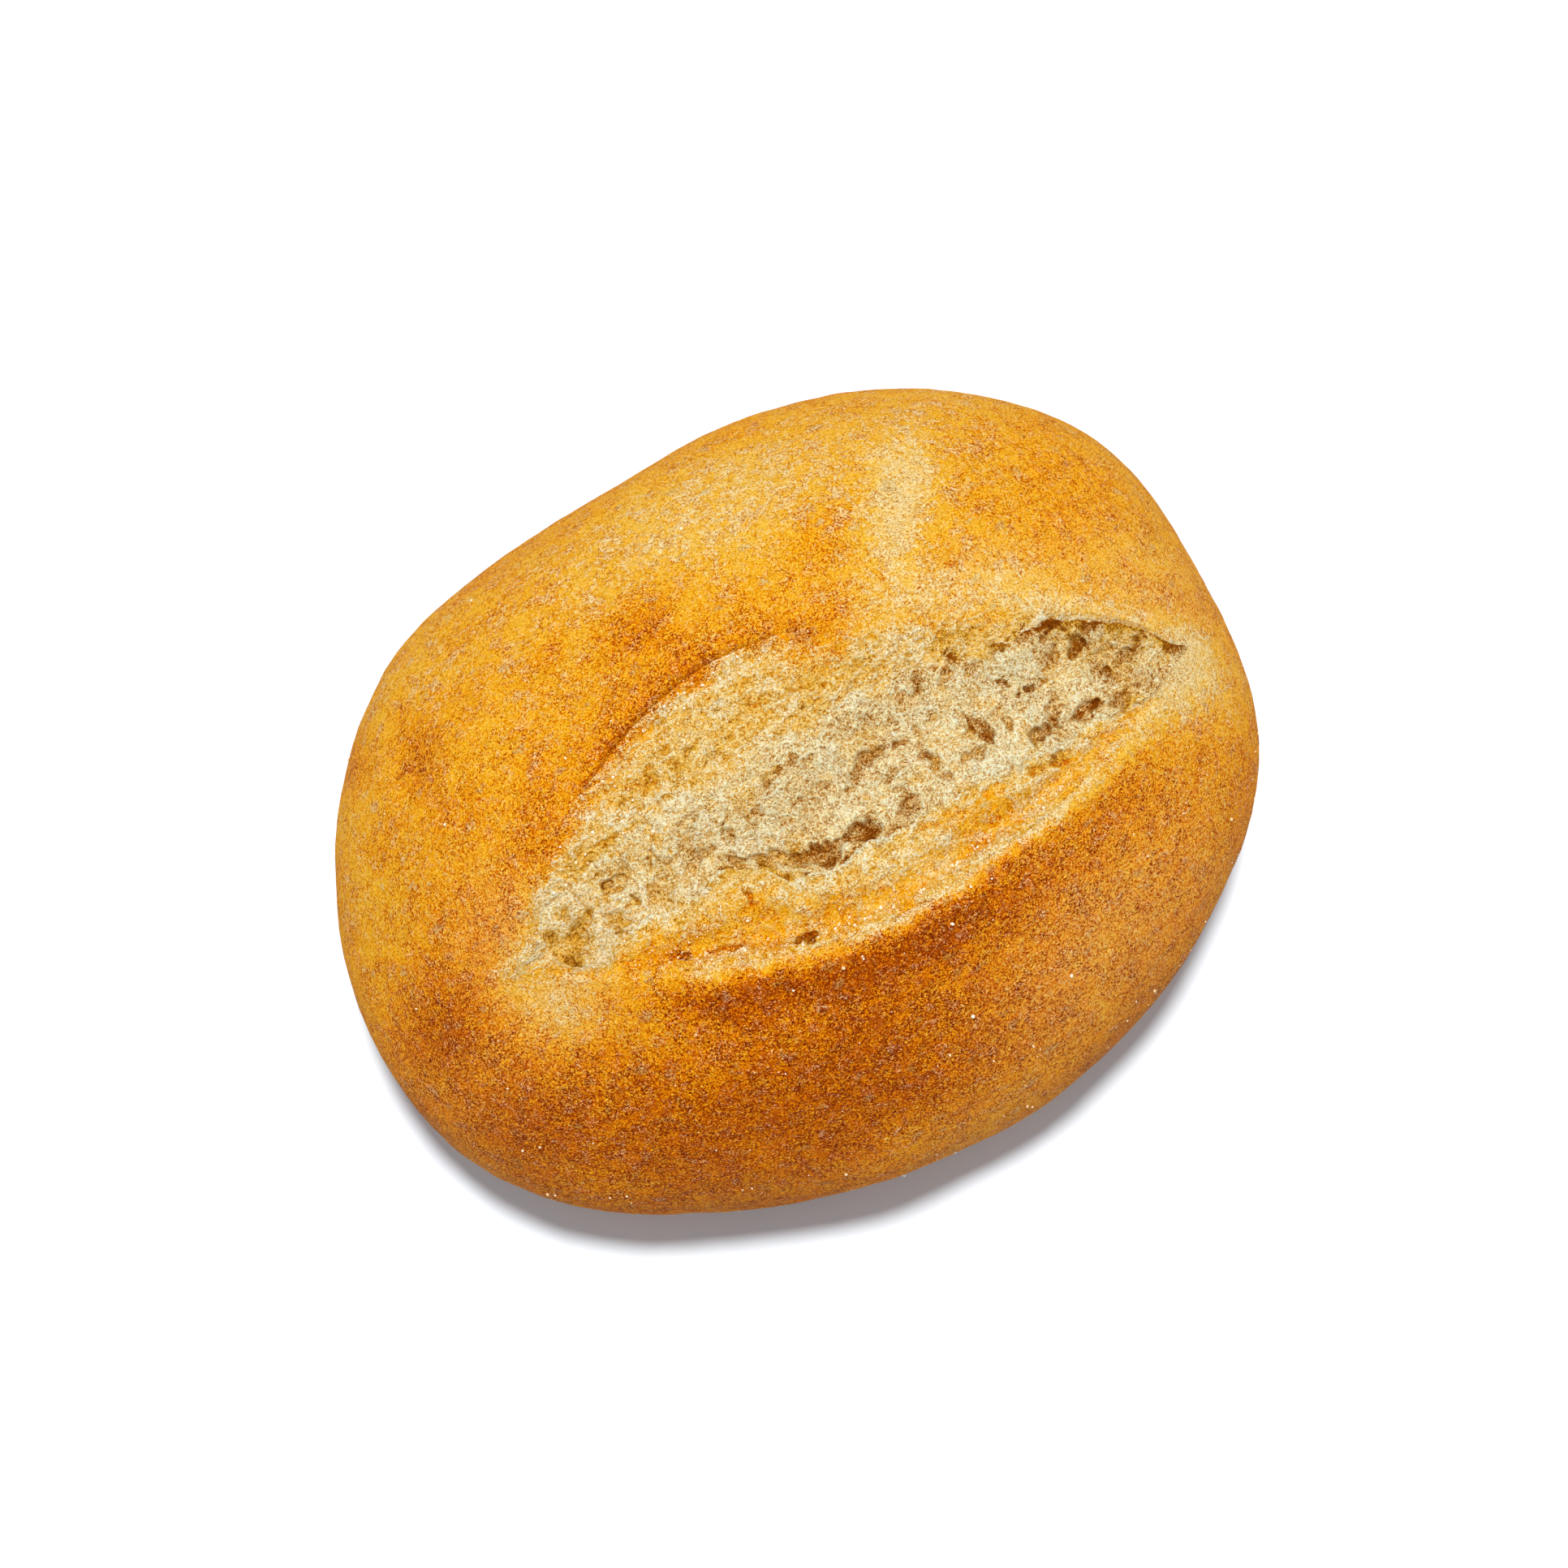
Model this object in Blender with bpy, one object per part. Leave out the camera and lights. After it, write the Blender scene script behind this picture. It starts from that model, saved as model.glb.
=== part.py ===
"""French roll: an oval wheat roll with a flat heel, torn open along its top in the oven.

The roll is one solid. Its plain body is a unit ball whose points are carried to an oval outline, a full dome and
a rounded underside, which the oven floor cuts flat. The split is relief in that solid: an upper lip that hangs
over a stretched shelf, a torn trough with the bowls of opened bubbles, and a lower shelf that ends in a crease
under the lower lip. X runs along the roll, Y across it, towards the upper lip, and Z up from the heel.
"""

import math

import bmesh
import bpy
import numpy as np

MM = 0.001

# The plain body
LENGTH = 108 * MM
WIDTH = 85 * MM
HEIGHT = 52 * MM
WAIST = 18 * MM  # height of the widest ring
UNDERSIDE = 22 * MM  # how far below the waist the rounding would reach if the heel were not flat
OUTLINE_POWER = 2.25  # 2 is an ellipse, and more is squarer
DOME_POWER = 0.95  # 1 is an ellipse, and less is fuller
UNDERSIDE_POWER = 0.60
OUTLINE_MEAN = 0.988

# The outline's slow swellings: waves round the roll, share of the radius, direction of a crest in degrees
SWELLINGS = (
    (1, 0.026, 54),
    (3, 0.0115, 39),
    (4, 0.009, 22),
    (5, 0.008, -24),
    (6, 0.0036, 8),
    (7, 0.0027, -18),
)

# The split: its two tips, and each line as a bowed arc on the chord between them
LEFT_TIP = (-37 * MM, -3.5 * MM)
RIGHT_TIP = (46 * MM, -7 * MM)
UPPER_LIP_BOW = 19.6 * MM
UPPER_LIP_CREST = 0.434  # share of the chord, from the left tip
LOWER_LIP_BOW = -13.9 * MM
LOWER_LIP_CREST = 0.506
TEAR_TOP_BOW = 9.4 * MM
TEAR_TOP_CREST = 0.56
TEAR_FOOT_NEAR = -1.7 * MM  # the tear's lower edge, from the chord, on the left
TEAR_FOOT_FAR = -4.4 * MM  # and on the right, past the place where the flap ends
FLAP_END = (-11 * MM, -2 * MM)
TEAR_FOOT_TAPERS = (6, 9)  # how steeply that edge leaves the chord, at the left tip and at the right one
OPENING_START = (0, 0.09)  # shares of the chord over which the split deepens, and then closes
OPENING_END = (0.92, 1)

# How far each stretch of the split lies below the plain dome
UPPER_LIP_DROP = 1.3 * MM
SHELF_DEPTH = 2.3 * MM
TEAR_DEPTH = 3.9 * MM
TEAR_END_DEPTH = 2.2 * MM  # at the right tip, where the roll curves away
TEAR_SHALLOWS = (22 * MM, 46 * MM)
TEAR_FOOT_DEPTH = 1.8 * MM
RIDGE_DEPTH = 1.1 * MM
RIDGE_PLACE = 0.35  # share of the way from the tear's foot to the lower lip
RIDGE_SPREAD = 0.22
CREASE_DEPTH = 2.6 * MM
UPPER_LIP_SWELL = 1.1 * MM
LOWER_LIP_SWELL = 0.9 * MM
LIP_REACH = 5.5 * MM  # how far a lip's swelling spreads over the crust
STEP_WIDTH = 1.5 * MM  # over which a torn edge rises
UPPER_LIP_SPAN = (-33 * MM, -20 * MM, 8 * MM, 27 * MM)  # where the lip starts, is full, starts to fade, ends
LOWER_LIP_SPAN = (-31 * MM, -18 * MM, 22 * MM, 40 * MM)

# Bowls left by opened bubbles along the tear
BOWL_COUNT = 90
BOWL_RADIUS = (1.2 * MM, 2.8 * MM)
BOWL_FLATTENING = 0.5
BOWL_SEED = 7

# Dents and folds of the crust: place along and across, reach along and across, turn in degrees, depth
DENTS = (
    (-35 * MM, 22 * MM, 2.8 * MM, 5.0 * MM, -8, 0.7 * MM),
    (-40 * MM, 27 * MM, 3.0 * MM, 3.0 * MM, 0, 0.5 * MM),
    (26 * MM, 23 * MM, 8.0 * MM, 2.6 * MM, 47, 0.5 * MM),
    (-35 * MM, -7 * MM, 5.0 * MM, 4.0 * MM, 0, 0.8 * MM),
    (-6 * MM, 23 * MM, 6.0 * MM, 4.0 * MM, 0, -0.6 * MM),
    (-24 * MM, -24 * MM, 9.0 * MM, 5.0 * MM, 20, -0.7 * MM),
)

# Slow unevenness of the whole body: a few waves crossing it, as length, height, direction and phase in degrees
WAVES = (
    (41 * MM, 0.22 * MM, (0.8, 0.5, 0.3), 150),
    (29 * MM, 0.16 * MM, (-0.4, 0.9, 0.5), 10),
    (23 * MM, 0.14 * MM, (0.6, -0.6, 0.9), -40),
    (17 * MM, 0.09 * MM, (-0.9, -0.2, 0.6), 205),
)
TOP_START = (WAIST, WAIST + 8 * MM)  # heights over which the dents come in

# The mesh: segments round the roll and along it, whose rows follow the lips, then thinned
ROUND_SEGMENTS = 200
LENGTH_SEGMENTS = 140
SPLIT_ROWS = 0.34  # share of the rows that the opening takes, from lip to lip
NARROWEST_ROWS = 7 * MM  # half the width that those rows keep at the split's tips
STEEPEST_ROWS = 0.8  # sine of the furthest turn from the top that a lip's row may take
THINNING = 0.175


def smooth(low, high, value):
    """0 at low, 1 at high, and an even S between them."""
    share = np.clip((value - low) / (high - low), 0, 1)
    return share * share * (3 - 2 * share)


def outline(angle):
    """Distance of the outline from the middle, in each direction seen from above."""
    oval = (
        (np.abs(np.cos(angle)) / (LENGTH / 2)) ** OUTLINE_POWER
        + (np.abs(np.sin(angle)) / (WIDTH / 2)) ** OUTLINE_POWER
    ) ** (-1 / OUTLINE_POWER)
    swelling = OUTLINE_MEAN
    for waves, share, crest in SWELLINGS:
        swelling = swelling + share * np.cos(waves * (angle - math.radians(crest)))
    return oval * swelling


def plain_body(ball):
    """Carries points of the unit ball to the roll without its split: an oval in plan, full above and below."""
    angle = np.arctan2(ball[:, 1] * WIDTH, ball[:, 0] * LENGTH)
    level = np.hypot(ball[:, 0], ball[:, 1])
    height = np.abs(ball[:, 2])
    above = ball[:, 2] >= 0
    power = np.where(above, DOME_POWER, UNDERSIDE_POWER)
    radius = outline(angle) * level**power
    rise = np.where(above, HEIGHT - WAIST, -UNDERSIDE) * height**power
    return np.stack(
        (radius * np.cos(angle), radius * np.sin(angle), WAIST + rise), axis=1
    )


def chord(x):
    """The straight line from one tip of the split to the other, and the share of the way along it."""
    share = (x - LEFT_TIP[0]) / (RIGHT_TIP[0] - LEFT_TIP[0])
    return LEFT_TIP[1] + share * (RIGHT_TIP[1] - LEFT_TIP[1]), share


def bowed(x, bow, crest):
    """An arc on the chord: it leaves the chord by bow at the crest, and meets it at the tips."""
    base, share = chord(x)
    side = np.where(share < crest, crest, 1 - crest)
    return base + bow * np.clip(1 - ((share - crest) / side) ** 2, 0, 1)


def span(x, limits):
    """1 along the middle of a lip, fading to 0 at its ends."""
    start, full, fade, end = limits
    return smooth(start, full, x) * (1 - smooth(fade, end, x))


def tear_foot(x):
    """The tear's lower edge, which steps outwards where the flap of crust ends."""
    base, share = chord(x)
    reach = TEAR_FOOT_NEAR + (TEAR_FOOT_FAR - TEAR_FOOT_NEAR) * smooth(*FLAP_END, x)
    left, right = TEAR_FOOT_TAPERS
    return base + reach * np.clip(left * share, 0, 1) * np.clip(right * (1 - share), 0, 1)


def split_relief(x, y):
    """Height of the split's surface over the plain dome, at places seen from above."""
    upper_lip = bowed(x, UPPER_LIP_BOW, UPPER_LIP_CREST)
    lower_lip = bowed(x, LOWER_LIP_BOW, LOWER_LIP_CREST)
    tear_top = bowed(x, TEAR_TOP_BOW, TEAR_TOP_CREST)
    foot = tear_foot(x)
    share = chord(x)[1]
    opening = smooth(*OPENING_START, share) * (1 - smooth(*OPENING_END, share))
    upper_full = span(x, UPPER_LIP_SPAN)
    lower_full = span(x, LOWER_LIP_SPAN)

    to_tear = np.clip((upper_lip - y) / np.maximum(upper_lip - tear_top, MM), 0, 1)
    upper_shelf = -UPPER_LIP_DROP * upper_full - to_tear * (
        SHELF_DEPTH - UPPER_LIP_DROP * upper_full
    )
    to_lip = np.clip((foot - y) / np.maximum(foot - lower_lip, MM), 0, 1)
    ridge = np.exp(-(((to_lip - RIDGE_PLACE) / RIDGE_SPREAD) ** 2))
    lower_shelf = -(
        TEAR_FOOT_DEPTH
        + (CREASE_DEPTH * lower_full - TEAR_FOOT_DEPTH) * to_lip
        - (TEAR_FOOT_DEPTH - RIDGE_DEPTH) * ridge
    )

    in_tear = smooth(-STEP_WIDTH, STEP_WIDTH, tear_top - y) * smooth(
        -STEP_WIDTH / 2, STEP_WIDTH / 2, y - foot
    )
    shelf = np.where(y > (tear_top + foot) / 2, upper_shelf, lower_shelf)
    tear = -TEAR_DEPTH + (TEAR_DEPTH - TEAR_END_DEPTH) * smooth(*TEAR_SHALLOWS, x)
    floor = shelf + in_tear * (tear - shelf)
    inside = smooth(-STEP_WIDTH / 2, STEP_WIDTH / 2, upper_lip - y) * smooth(
        -STEP_WIDTH / 2, STEP_WIDTH / 2, y - lower_lip
    )
    upper_swell = UPPER_LIP_SWELL * upper_full * bulge(y - upper_lip)
    lower_swell = LOWER_LIP_SWELL * lower_full * bulge(lower_lip - y)
    return (
        opening * inside * floor
        + (1 - inside) * (upper_swell + lower_swell)
        + opening * in_tear * inside * bowls(x, y)
    )


def bulge(outwards):
    """A lip's swelling: full at the lip, and fading outwards over its reach."""
    return np.where(outwards > -STEP_WIDTH, np.exp(-((outwards / LIP_REACH) ** 2)), 0)


def bowls(x, y):
    """The hollows of opened bubbles along the tear, as caps of balls sunk halfway into it."""
    rng = np.random.default_rng(BOWL_SEED)
    depth = np.zeros_like(x)
    for share in rng.random(BOWL_COUNT):
        middle_x = LEFT_TIP[0] + share * (RIGHT_TIP[0] - LEFT_TIP[0])
        top = bowed(middle_x, TEAR_TOP_BOW, TEAR_TOP_CREST)
        middle_y = tear_foot(middle_x) + rng.random() * (top - tear_foot(middle_x))
        radius = BOWL_RADIUS[0] + rng.random() ** 2 * (BOWL_RADIUS[1] - BOWL_RADIUS[0])
        away = np.hypot(x - middle_x, y - middle_y)
        cap = np.sqrt(np.maximum(radius**2 - away**2, 0)) * BOWL_FLATTENING
        depth = np.maximum(depth, cap)
    return -depth


def crust_relief(points):
    """Height of the crust over the plain body: slow waves all over, and the dents of the top."""
    height = np.zeros(len(points))
    for length, rise, direction, phase in WAVES:
        along = points @ np.array(direction) / np.linalg.norm(direction)
        height += rise * np.sin(2 * math.pi * along / length + math.radians(phase))
    top = smooth(*TOP_START, points[:, 2])
    for x, y, reach_x, reach_y, turn, depth in DENTS:
        cosine, sine = math.cos(math.radians(turn)), math.sin(math.radians(turn))
        along = (points[:, 0] - x) * cosine + (points[:, 1] - y) * sine
        across = (points[:, 1] - y) * cosine - (points[:, 0] - x) * sine
        height -= top * depth * np.exp(-((along / reach_x) ** 2) - (across / reach_y) ** 2)
    return height


def outward(points):
    """Unit directions that leave the body, taken from an egg of the same size."""
    away = points - np.array((0, 0, WAIST))
    away = away / np.array((LENGTH / 2, WIDTH / 2, HEIGHT - WAIST)) ** 2
    return away / np.linalg.norm(away, axis=1, keepdims=True)


def rows_along_split(ball):
    """Turns points of the ball round X so that their rows follow the two lips and crowd between them."""
    ring = np.hypot(ball[:, 1], ball[:, 2])
    turn = np.arctan2(ball[:, 1], ball[:, 2]) / math.pi
    x = ball[:, 0] * LENGTH / 2
    middle = chord(x)[0]
    lips = []
    for bow, crest, side in (
        (LOWER_LIP_BOW, LOWER_LIP_CREST, -1),
        (UPPER_LIP_BOW, UPPER_LIP_CREST, 1),
    ):
        reach = np.hypot(bowed(x, bow, crest) - middle, NARROWEST_ROWS)
        slope = (middle + side * reach) / np.maximum(ring * WIDTH / 2, MM)
        lips.append(np.arcsin(np.clip(slope, -STEEPEST_ROWS, STEEPEST_ROWS)))
    lower, upper = lips
    between = lower + (upper - lower) * (turn / SPLIT_ROWS + 1) / 2
    above = upper + (math.pi - upper) * (turn - SPLIT_ROWS) / (1 - SPLIT_ROWS)
    below = lower + (math.pi + lower) * (turn + SPLIT_ROWS) / (1 - SPLIT_ROWS)
    angle = np.where(turn > SPLIT_ROWS, above, np.where(turn < -SPLIT_ROWS, below, between))
    return np.stack((ball[:, 0], ring * np.sin(angle), ring * np.cos(angle)), axis=1)


def shape_roll(ball):
    """Carries points of the unit ball to the surface of the whole roll."""
    plain = plain_body(rows_along_split(ball))
    points = plain + outward(plain) * crust_relief(plain)[:, None]
    top = smooth(*TOP_START, plain[:, 2])
    points[:, 2] += top * split_relief(plain[:, 0], plain[:, 1])
    middle = (points[:, :2].max(axis=0) + points[:, :2].min(axis=0)) / 2
    points[:, :2] -= middle
    return points


def ball_mesh(name):
    """A unit ball with its poles at the ends of X."""
    shape = bmesh.new()
    bmesh.ops.create_uvsphere(
        shape, u_segments=ROUND_SEGMENTS, v_segments=LENGTH_SEGMENTS, radius=1
    )
    for vertex in shape.verts:
        vertex.co = (vertex.co.z, vertex.co.y, -vertex.co.x)
    mesh = bpy.data.meshes.new(name)
    shape.to_mesh(mesh)
    shape.free()
    return mesh


def crust_material():
    """Baked wheat crust: golden brown, dull, and not metallic."""
    material = bpy.data.materials.new("baked_crust")
    material.use_nodes = True
    surface = material.node_tree.nodes["Principled BSDF"]
    surface.inputs["Base Color"].default_value = (0.74, 0.37, 0.075, 1)
    surface.inputs["Roughness"].default_value = 0.6
    surface.inputs["Metallic"].default_value = 0.0
    return material


def oven_floor():
    """The block that cuts the heel flat."""
    bpy.ops.mesh.primitive_cube_add(size=2 * LENGTH, location=(0, 0, -LENGTH))
    block = bpy.context.object
    block.name = "oven_floor"
    block.hide_render = True
    block.display_type = "WIRE"
    return block


def french_roll():
    """The whole roll as one object, thinned where it is smooth and cut flat at its heel."""
    mesh = ball_mesh("roll")
    ball = np.empty(len(mesh.vertices) * 3)
    mesh.vertices.foreach_get("co", ball)
    mesh.vertices.foreach_set("co", shape_roll(ball.reshape(-1, 3)).ravel())
    mesh.materials.append(crust_material())
    mesh.shade_smooth()
    roll = bpy.data.objects.new("roll", mesh)
    bpy.context.scene.collection.objects.link(roll)

    thin = roll.modifiers.new("thin", "DECIMATE")
    thin.ratio = THINNING
    heel = roll.modifiers.new("heel", "BOOLEAN")
    heel.operation = "DIFFERENCE"
    heel.object = oven_floor()
    return roll


def main():
    """Clears the scene and makes the roll."""
    for leftover in list(bpy.data.objects):
        bpy.data.objects.remove(leftover)
    french_roll()


main()
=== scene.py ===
"""Looks of the french roll: its browned crust, the torn crumb in its split, and the studio that shows it.

The crust, the two stretched shelves of the split and the torn crumb between them are separate closed meshes.
All are worked out from one form: a dome over an oval, with the split's lines drawn on it in plan. X runs
along the roll, Y across it, towards the overhanging lip, and Z up from the heel. Shapes are worked out in
millimetres, and placed() takes them to the frame's metres.
"""

import logging
import math
from collections.abc import Callable
from dataclasses import dataclass
from enum import Enum

import bpy
import numpy as np
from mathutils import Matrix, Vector


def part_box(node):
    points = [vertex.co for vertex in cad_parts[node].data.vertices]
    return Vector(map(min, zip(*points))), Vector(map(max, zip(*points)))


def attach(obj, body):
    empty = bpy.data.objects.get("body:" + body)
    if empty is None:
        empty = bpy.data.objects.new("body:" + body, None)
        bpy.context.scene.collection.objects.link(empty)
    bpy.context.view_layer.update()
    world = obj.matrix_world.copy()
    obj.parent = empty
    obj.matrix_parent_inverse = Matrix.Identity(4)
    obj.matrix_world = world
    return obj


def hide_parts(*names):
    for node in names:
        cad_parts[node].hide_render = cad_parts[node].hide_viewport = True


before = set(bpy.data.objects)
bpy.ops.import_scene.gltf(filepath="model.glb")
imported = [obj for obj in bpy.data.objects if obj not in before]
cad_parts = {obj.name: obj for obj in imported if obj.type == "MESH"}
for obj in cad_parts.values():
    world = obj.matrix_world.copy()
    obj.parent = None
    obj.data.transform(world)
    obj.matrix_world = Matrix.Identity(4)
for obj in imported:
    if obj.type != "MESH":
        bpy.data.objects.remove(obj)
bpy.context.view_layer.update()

Array = np.ndarray
Socket = bpy.types.NodeSocket
Adder = Callable[..., Socket]
LOG = logging.getLogger("french_roll")

# Metres in a millimetre
MM = 0.001
NODE = "roll"
BODY = "root"


def linear(code: str) -> tuple[float, float, float, float]:
    """Turns an sRGB hex colour into Blender's linear one.

    Args:
        code: The colour as "#rrggbb".

    Returns:
        Red, green, blue and an alpha of 1.
    """
    shares = [int(code[i : i + 2], 16) / 255 for i in (1, 3, 5)]
    red, green, blue = (s / 12.92 if s <= 0.04045 else ((s + 0.055) / 1.055) ** 2.4 for s in shares)
    return red, green, blue, 1.0


def smooth(low: float | Array, high: float | Array, value: Array) -> Array:
    """0 at low, 1 at high, and an even S between them: 3 t^2 - 2 t^3 of the share t of the way."""
    share = np.clip((value - low) / (high - low), 0, 1)
    return share * share * (3 - 2 * share)


def falloff(away: Array, reach: float) -> Array:
    """A bell curve of a distance, 1 where it is 0: exp(-(away / reach)^2)."""
    return np.exp(-((away / reach) ** 2))


def hashed(cells: Array, seed: int) -> Array:
    """A fixed random number for each whole-numbered cell.

    Args:
        cells: Whole numbers, three to a cell, in the last axis.
        seed: Picks one of many fields of numbers.

    Returns:
        Numbers from -1 to 1, one for each cell.
    """
    mask = 0xFFFFFFFF
    key = cells[..., 0] * 0x9E3779B1 ^ cells[..., 1] * 0x85EBCA77 ^ cells[..., 2] * 0xC2B2AE3D
    key = (key ^ seed * 0x27D4EB2F) & mask
    for shift, factor in ((15, 0x2C1B3C6D), (12, 0x297A2D39)):
        key = ((key ^ key >> shift) * factor) & mask
    return (key ^ key >> 15) / 2**31 - 1


def hills(points: Array, cell: float, seed: int, octaves: int = 1) -> Array:
    """Smooth random hills: random heights at the corners of cubes, blended by an S along each side.

    Args:
        points: Places, three numbers each in the last axis.
        cell: Side of the largest cubes.
        seed: Picks the field.
        octaves: How many fields are summed, each with half the cell and half the height of the one before.

    Returns:
        Heights from about -1 to 1.
    """
    total = np.zeros(points.shape[:-1])
    for octave in range(octaves):
        place = points * (2**octave / cell)
        corner = np.floor(place).astype(np.int64)
        part = place - corner
        part = part * part * (3 - 2 * part)
        for step in np.ndindex(2, 2, 2):
            weight = np.prod(np.where(np.array(step) == 1, part, 1 - part), axis=-1)
            total += weight * hashed(corner + np.array(step), seed + octave) / 2**octave
    return total


def plan(x: Array, y: Array) -> Array:
    """Places in the plan as points with no height."""
    return np.stack((x, y, np.zeros_like(x)), axis=-1)


def ellipse(
    x: Array, y: Array, middle_x: float, middle_y: float, reach_x: float, reach_y: float, turn: float
) -> Array:
    """Distance from the middle of an ellipse in the plan, as a share of the ellipse's reach that way.

    Args:
        x: Places along the roll.
        y: Places across it.
        middle_x: The middle's place along the roll.
        middle_y: The middle's place across it.
        reach_x: Half of the ellipse's first axis.
        reach_y: Half of its second axis.
        turn: Degrees from the roll's length to the first axis.

    Returns:
        Shares, 1 on the ellipse's line.
    """
    cosine, sine = math.cos(math.radians(turn)), math.sin(math.radians(turn))
    east, north = x - middle_x, y - middle_y
    return np.hypot((east * cosine + north * sine) / reach_x, (north * cosine - east * sine) / reach_y)


def bell(points: Array, *spot: float) -> Array:
    """A bell curve over a spot in the plan, given by an ellipse's middle, reaches and turn."""
    return falloff(ellipse(points[..., 0], points[..., 1], *spot), 1)


def painted(field: Array, points: Array, patches: tuple) -> Array:
    """The field plus a bell curve for each patch, given by its spot and its change."""
    for *spot, change in patches:
        field = field + change * bell(points, *spot)
    return field


def shifted(line: Array, x: Array, shifts: tuple) -> Array:
    """The line moved by a bell curve for each shift, given by its place along, reach and height."""
    for place, reach, rise in shifts:
        line = line + rise * falloff(x - place, reach)
    return line


def bubbles(
    x: Array, y: Array, cell: float, radii: tuple[float, float], seed: int, share: float = 1.0
) -> tuple[Array, Array]:
    """Bowls that opened bubbles leave, and the thin walls round them, seen from above.

    Each square of a grid holds at most one ball at a random place in it. At a distance d from the ball's
    centre, the bowl is sqrt(r^2 - d^2) deep, and the deepest bowl counts. The wall is a bell curve of d - r.

    Args:
        x: Places along the roll.
        y: Places across it.
        cell: Side of the grid's squares.
        radii: Smallest and largest ball.
        seed: Picks the grid's random numbers.
        share: Share of the squares that hold a ball.

    Returns:
        Depths, 0 where there is no bowl, and walls from 0 to 1.
    """
    here = np.floor(plan(x, y) / cell).astype(np.int64)
    depth = np.zeros_like(x)
    wall = np.zeros_like(x)
    for step in np.ndindex(3, 3, 1):
        square = here + np.array(step) - np.array((1, 1, 0))
        middle_x = (square[..., 0] + 0.5 + 0.45 * hashed(square, seed)) * cell
        middle_y = (square[..., 1] + 0.5 + 0.45 * hashed(square, seed + 1)) * cell
        size = (hashed(square, seed + 2) + 1) / 2
        radius = radii[0] + (radii[1] - radii[0]) * size**2
        there = hashed(square, seed + 3) < 2 * share - 1
        away = np.hypot(x - middle_x, y - middle_y)
        depth = np.maximum(depth, there * np.sqrt(np.maximum(radius**2 - away**2, 0)))
        wall = np.maximum(wall, there * falloff(away - radius, 0.22 * radii[1]))
    return depth, wall * np.clip(1 - 2.5 * depth / radii[1], 0, 1)


def strands(x: Array, y: Array, along: float, across: float, seed: int) -> Array:
    """Stretched dough strands: ridges of 1 - 2 |hills|, drawn out along the roll and gently bent.

    Args:
        x: Places along the roll.
        y: Places across it.
        along: Length of a strand.
        across: Width of a strand.
        seed: Picks the field.

    Returns:
        Heights from -1 in the grooves to 1 on the strands.
    """
    bent = y + 0.8 * across * hills(plan(x, y), 2.5 * across, seed + 50)
    return 1 - 2.6 * np.abs(hills(plan(x / along, bent / across), 1.0, seed))


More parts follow.
